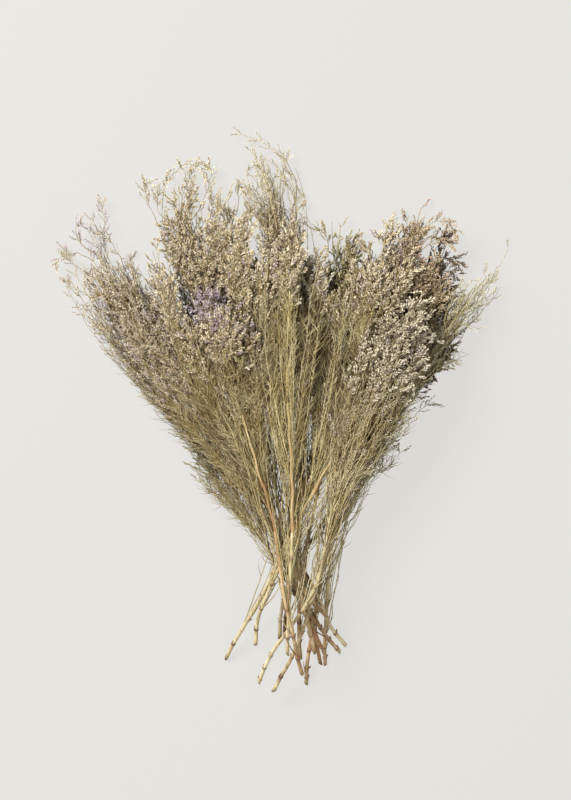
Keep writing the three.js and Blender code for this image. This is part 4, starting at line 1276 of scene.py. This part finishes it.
def bark_colour(shader, code):
    """Straw-coloured bark with streaks along the stalk (+Y), some stalks browner than others."""
    colours = STALK_COLOURS
    streaks = shader.noise("streaks")
    tone = shader.weighed("bark", streaks, shader.noise("bark"))
    young = shader.ramp(tone, STOPS["young"], (colours["dark"], colours["mid"], colours["light"]))
    old = shader.ramp(tone, STOPS["old"], (colours["oldest"], colours["old"]))
    blotches = shader.times(shader.maths("SUBTRACT", shader.noise("blotches"), 0.5), BLOTCHES)
    blotched = shader.maths("ADD", code[0], blotches)
    aged = shader.times(shader.maths("SUBTRACT", blotched, OLD_BARK["from"]), OLD_BARK["steep"])
    return shader.mixed(shader.node("ShaderNodeClamp", {0: aged}).outputs[0], young, old), streaks


def twig_material(name, kind):
    """Green to brown twigs with specks and withered patches, weathered bark where they are woody, and
    painted shade deep in the bunch.
    """
    shader = Shader(f"Statice twigs {name}", ROUGHNESS["twigs"])
    code = shader.code()
    dark = tuple(a * c for a, c in zip(TWIG_SHADOW, kind["twig"]))
    light = tuple(mix(a, b, TWIG_PALE) for a, b in zip(kind["twig"], PALEST_TWIG))
    tone = shader.weighed("twig", code[0], shader.noise("twig"))
    green = shader.ramp(tone, STOPS["twig"], (dark, kind["twig"], light))
    specks = shader.ramp(shader.noise("specks"), STOPS["specks"], (SPECKS, WHITE))
    withered = shader.ramp(shader.noise("withered"), STOPS["withered"], (WHITE, WITHERED))
    for patches in (specks, withered):
        green = shader.mixed(1.0, green, patches, "MULTIPLY")
    bark, _ = bark_colour(shader, code)
    bark = shader.mixed(1.0, bark, linear(WEATHERED), "MULTIPLY")
    ringed = shader.times(code[1], shader.times(shader.noise("rust"), RUSTY))
    bark = shader.mixed(ringed, bark, linear(RUST))
    shader.colour(shader.mixed(code[2], green, bark), SHADED["twigs"])
    shader.bump(shader.noise("grain"), *BUMPS["grain"])
    return shader.material


def stalk_material():
    """Bark with red-brown ring nodes, pale pith at the cut end, and some painted shade deep in the bunch."""
    shader = Shader("Statice stalk bark", ROUGHNESS["stalks"])
    code = shader.code()
    bark, streaks = bark_colour(shader, code)
    knotted = shader.times(code[1], shader.maths("ADD", shader.noise("rust"), 0.5))
    ringed = shader.mixed(knotted, bark, linear(STALK_COLOURS["knot"]))
    shader.colour(shader.mixed(code[2], ringed, linear(STALK_COLOURS["pith"])), SHADED["stalks"])
    shader.bump(streaks, *BUMPS["streaks"])
    return shader.material


# ---- The bunch -----------------------------------------------------
heap = Heap(-FLOOR_SINK)
bark = stalk_material()
materials = {}
for name, kind in KINDS.items():
    materials[name] = (twig_material(name, kind), floret_material(name, kind))
pieces = []


def add_stalk(name, stalk, knots, age, rng):
    arrays = stalk_mesh(stalk, knots, age, rng).arrays()
    pieces.append((f"fine_stalk_{name}", f"stalk_{name}", "straw_stalk", arrays, bark))


for bare in BARE_STALKS:
    add_stalk(bare["name"], *lay_bare_stalk(bare, heap), bare["age"], np.random.default_rng(bare["seed"]))
for stem in STEMS:
    rng = np.random.default_rng(stem["seed"])
    name = stem["name"]
    stalk, knots, strands, whole = lay_stem(stem, heap)
    add_stalk(name, stalk, knots, AGES.get(name, YOUNG), rng)
    kind = KINDS[stem["kind"]]
    tubes, blooms = grow_spray(stem, strands, whole, kind, rng)
    twig_matter, floret_matter = materials[stem["kind"]]
    slot = f"dried_spray_{stem['kind']}"
    pieces.append((f"twigs_{name}", f"spray_{name}", slot, tubes.arrays(), twig_matter))
    pieces.append((f"florets_{name}", f"spray_{name}", slot, florets(blooms, kind, rng), floret_matter))

canopy = Canopy()
for _, _, _, (vertices, _, _), _ in pieces:
    canopy.cover(vertices)
canopy.soften()
for name, node, slot, (vertices, faces, codes), material in pieces:
    # painted shade: how deep each vertex lies below the canopy, less of it on the lit edges
    depth = canopy.depth(vertices) * OPEN.get(node.removeprefix("spray_"), 1)
    piece = mesh_object(name, vertices, faces, codes, depth, material)
    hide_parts(node)
    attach(piece, "root")

# ---- Floor, light and camera ---------------------------------------
floor_mesh = bpy.data.meshes.new("floor")
half = FLOOR_SIZE / 2
corners = [(-half, -half, 0), (half, -half, 0), (half, half, 0), (-half, half, 0)]
floor_mesh.from_pydata(corners, [], [(0, 1, 2, 3)])
floor = bpy.data.objects.new("floor", floor_mesh)
bpy.context.scene.collection.objects.link(floor)
floor_shader = Shader("Pale surface", ROUGHNESS["floor"])
reflected = tuple(FLOOR_MATTER["reflected"] * c for c in linear(FLOOR_COLOUR)[:3]) + (1.0,)
floor_matter = {"Base Color": reflected, "Specular IOR Level": 0.0, "Emission Color": linear(FLOOR_COLOUR),
                "Emission Strength": FLOOR_MATTER["glow"]}
for key, value in floor_matter.items():
    floor_shader.principled.inputs[key].default_value = value
floor_mesh.materials.append(floor_shader.material)


def area_light(name, place, size, power):
    light = bpy.data.lights.new(name, "AREA")
    light.shape = "SQUARE"
    light.size = size
    light.energy = power
    lamp = bpy.data.objects.new(name, light)
    lamp.location = place
    direction = np.array(place) / np.linalg.norm(place)
    lamp.rotation_mode = "QUATERNION"
    lamp.rotation_quaternion = Vector(direction).to_track_quat("Z", "Y")
    bpy.context.scene.collection.objects.link(lamp)


for name, light in LIGHTS.items():
    area_light(name, **light)
world = bpy.data.worlds.new("studio")
world.use_nodes = True
sky = world.node_tree.nodes["Background"]
sky.inputs["Color"].default_value = SKY["colour"]
sky.inputs["Strength"].default_value = SKY["strength"]
bpy.context.scene.world = world
bpy.context.scene.view_settings.view_transform = "Standard"

camera = bpy.data.objects.new("camera", bpy.data.cameras.new("camera"))
camera.location = (*((a - b) * MM for a, b in zip(PICTURE_CENTRE, CENTRE)), CAMERA_HEIGHT)
camera.data.lens = camera.data.sensor_width * (CAMERA_HEIGHT - SUBJECT_HEIGHT) / FRAMED_LENGTH
camera.data.clip_end = 50
bpy.context.scene.collection.objects.link(camera)
bpy.context.scene.camera = camera
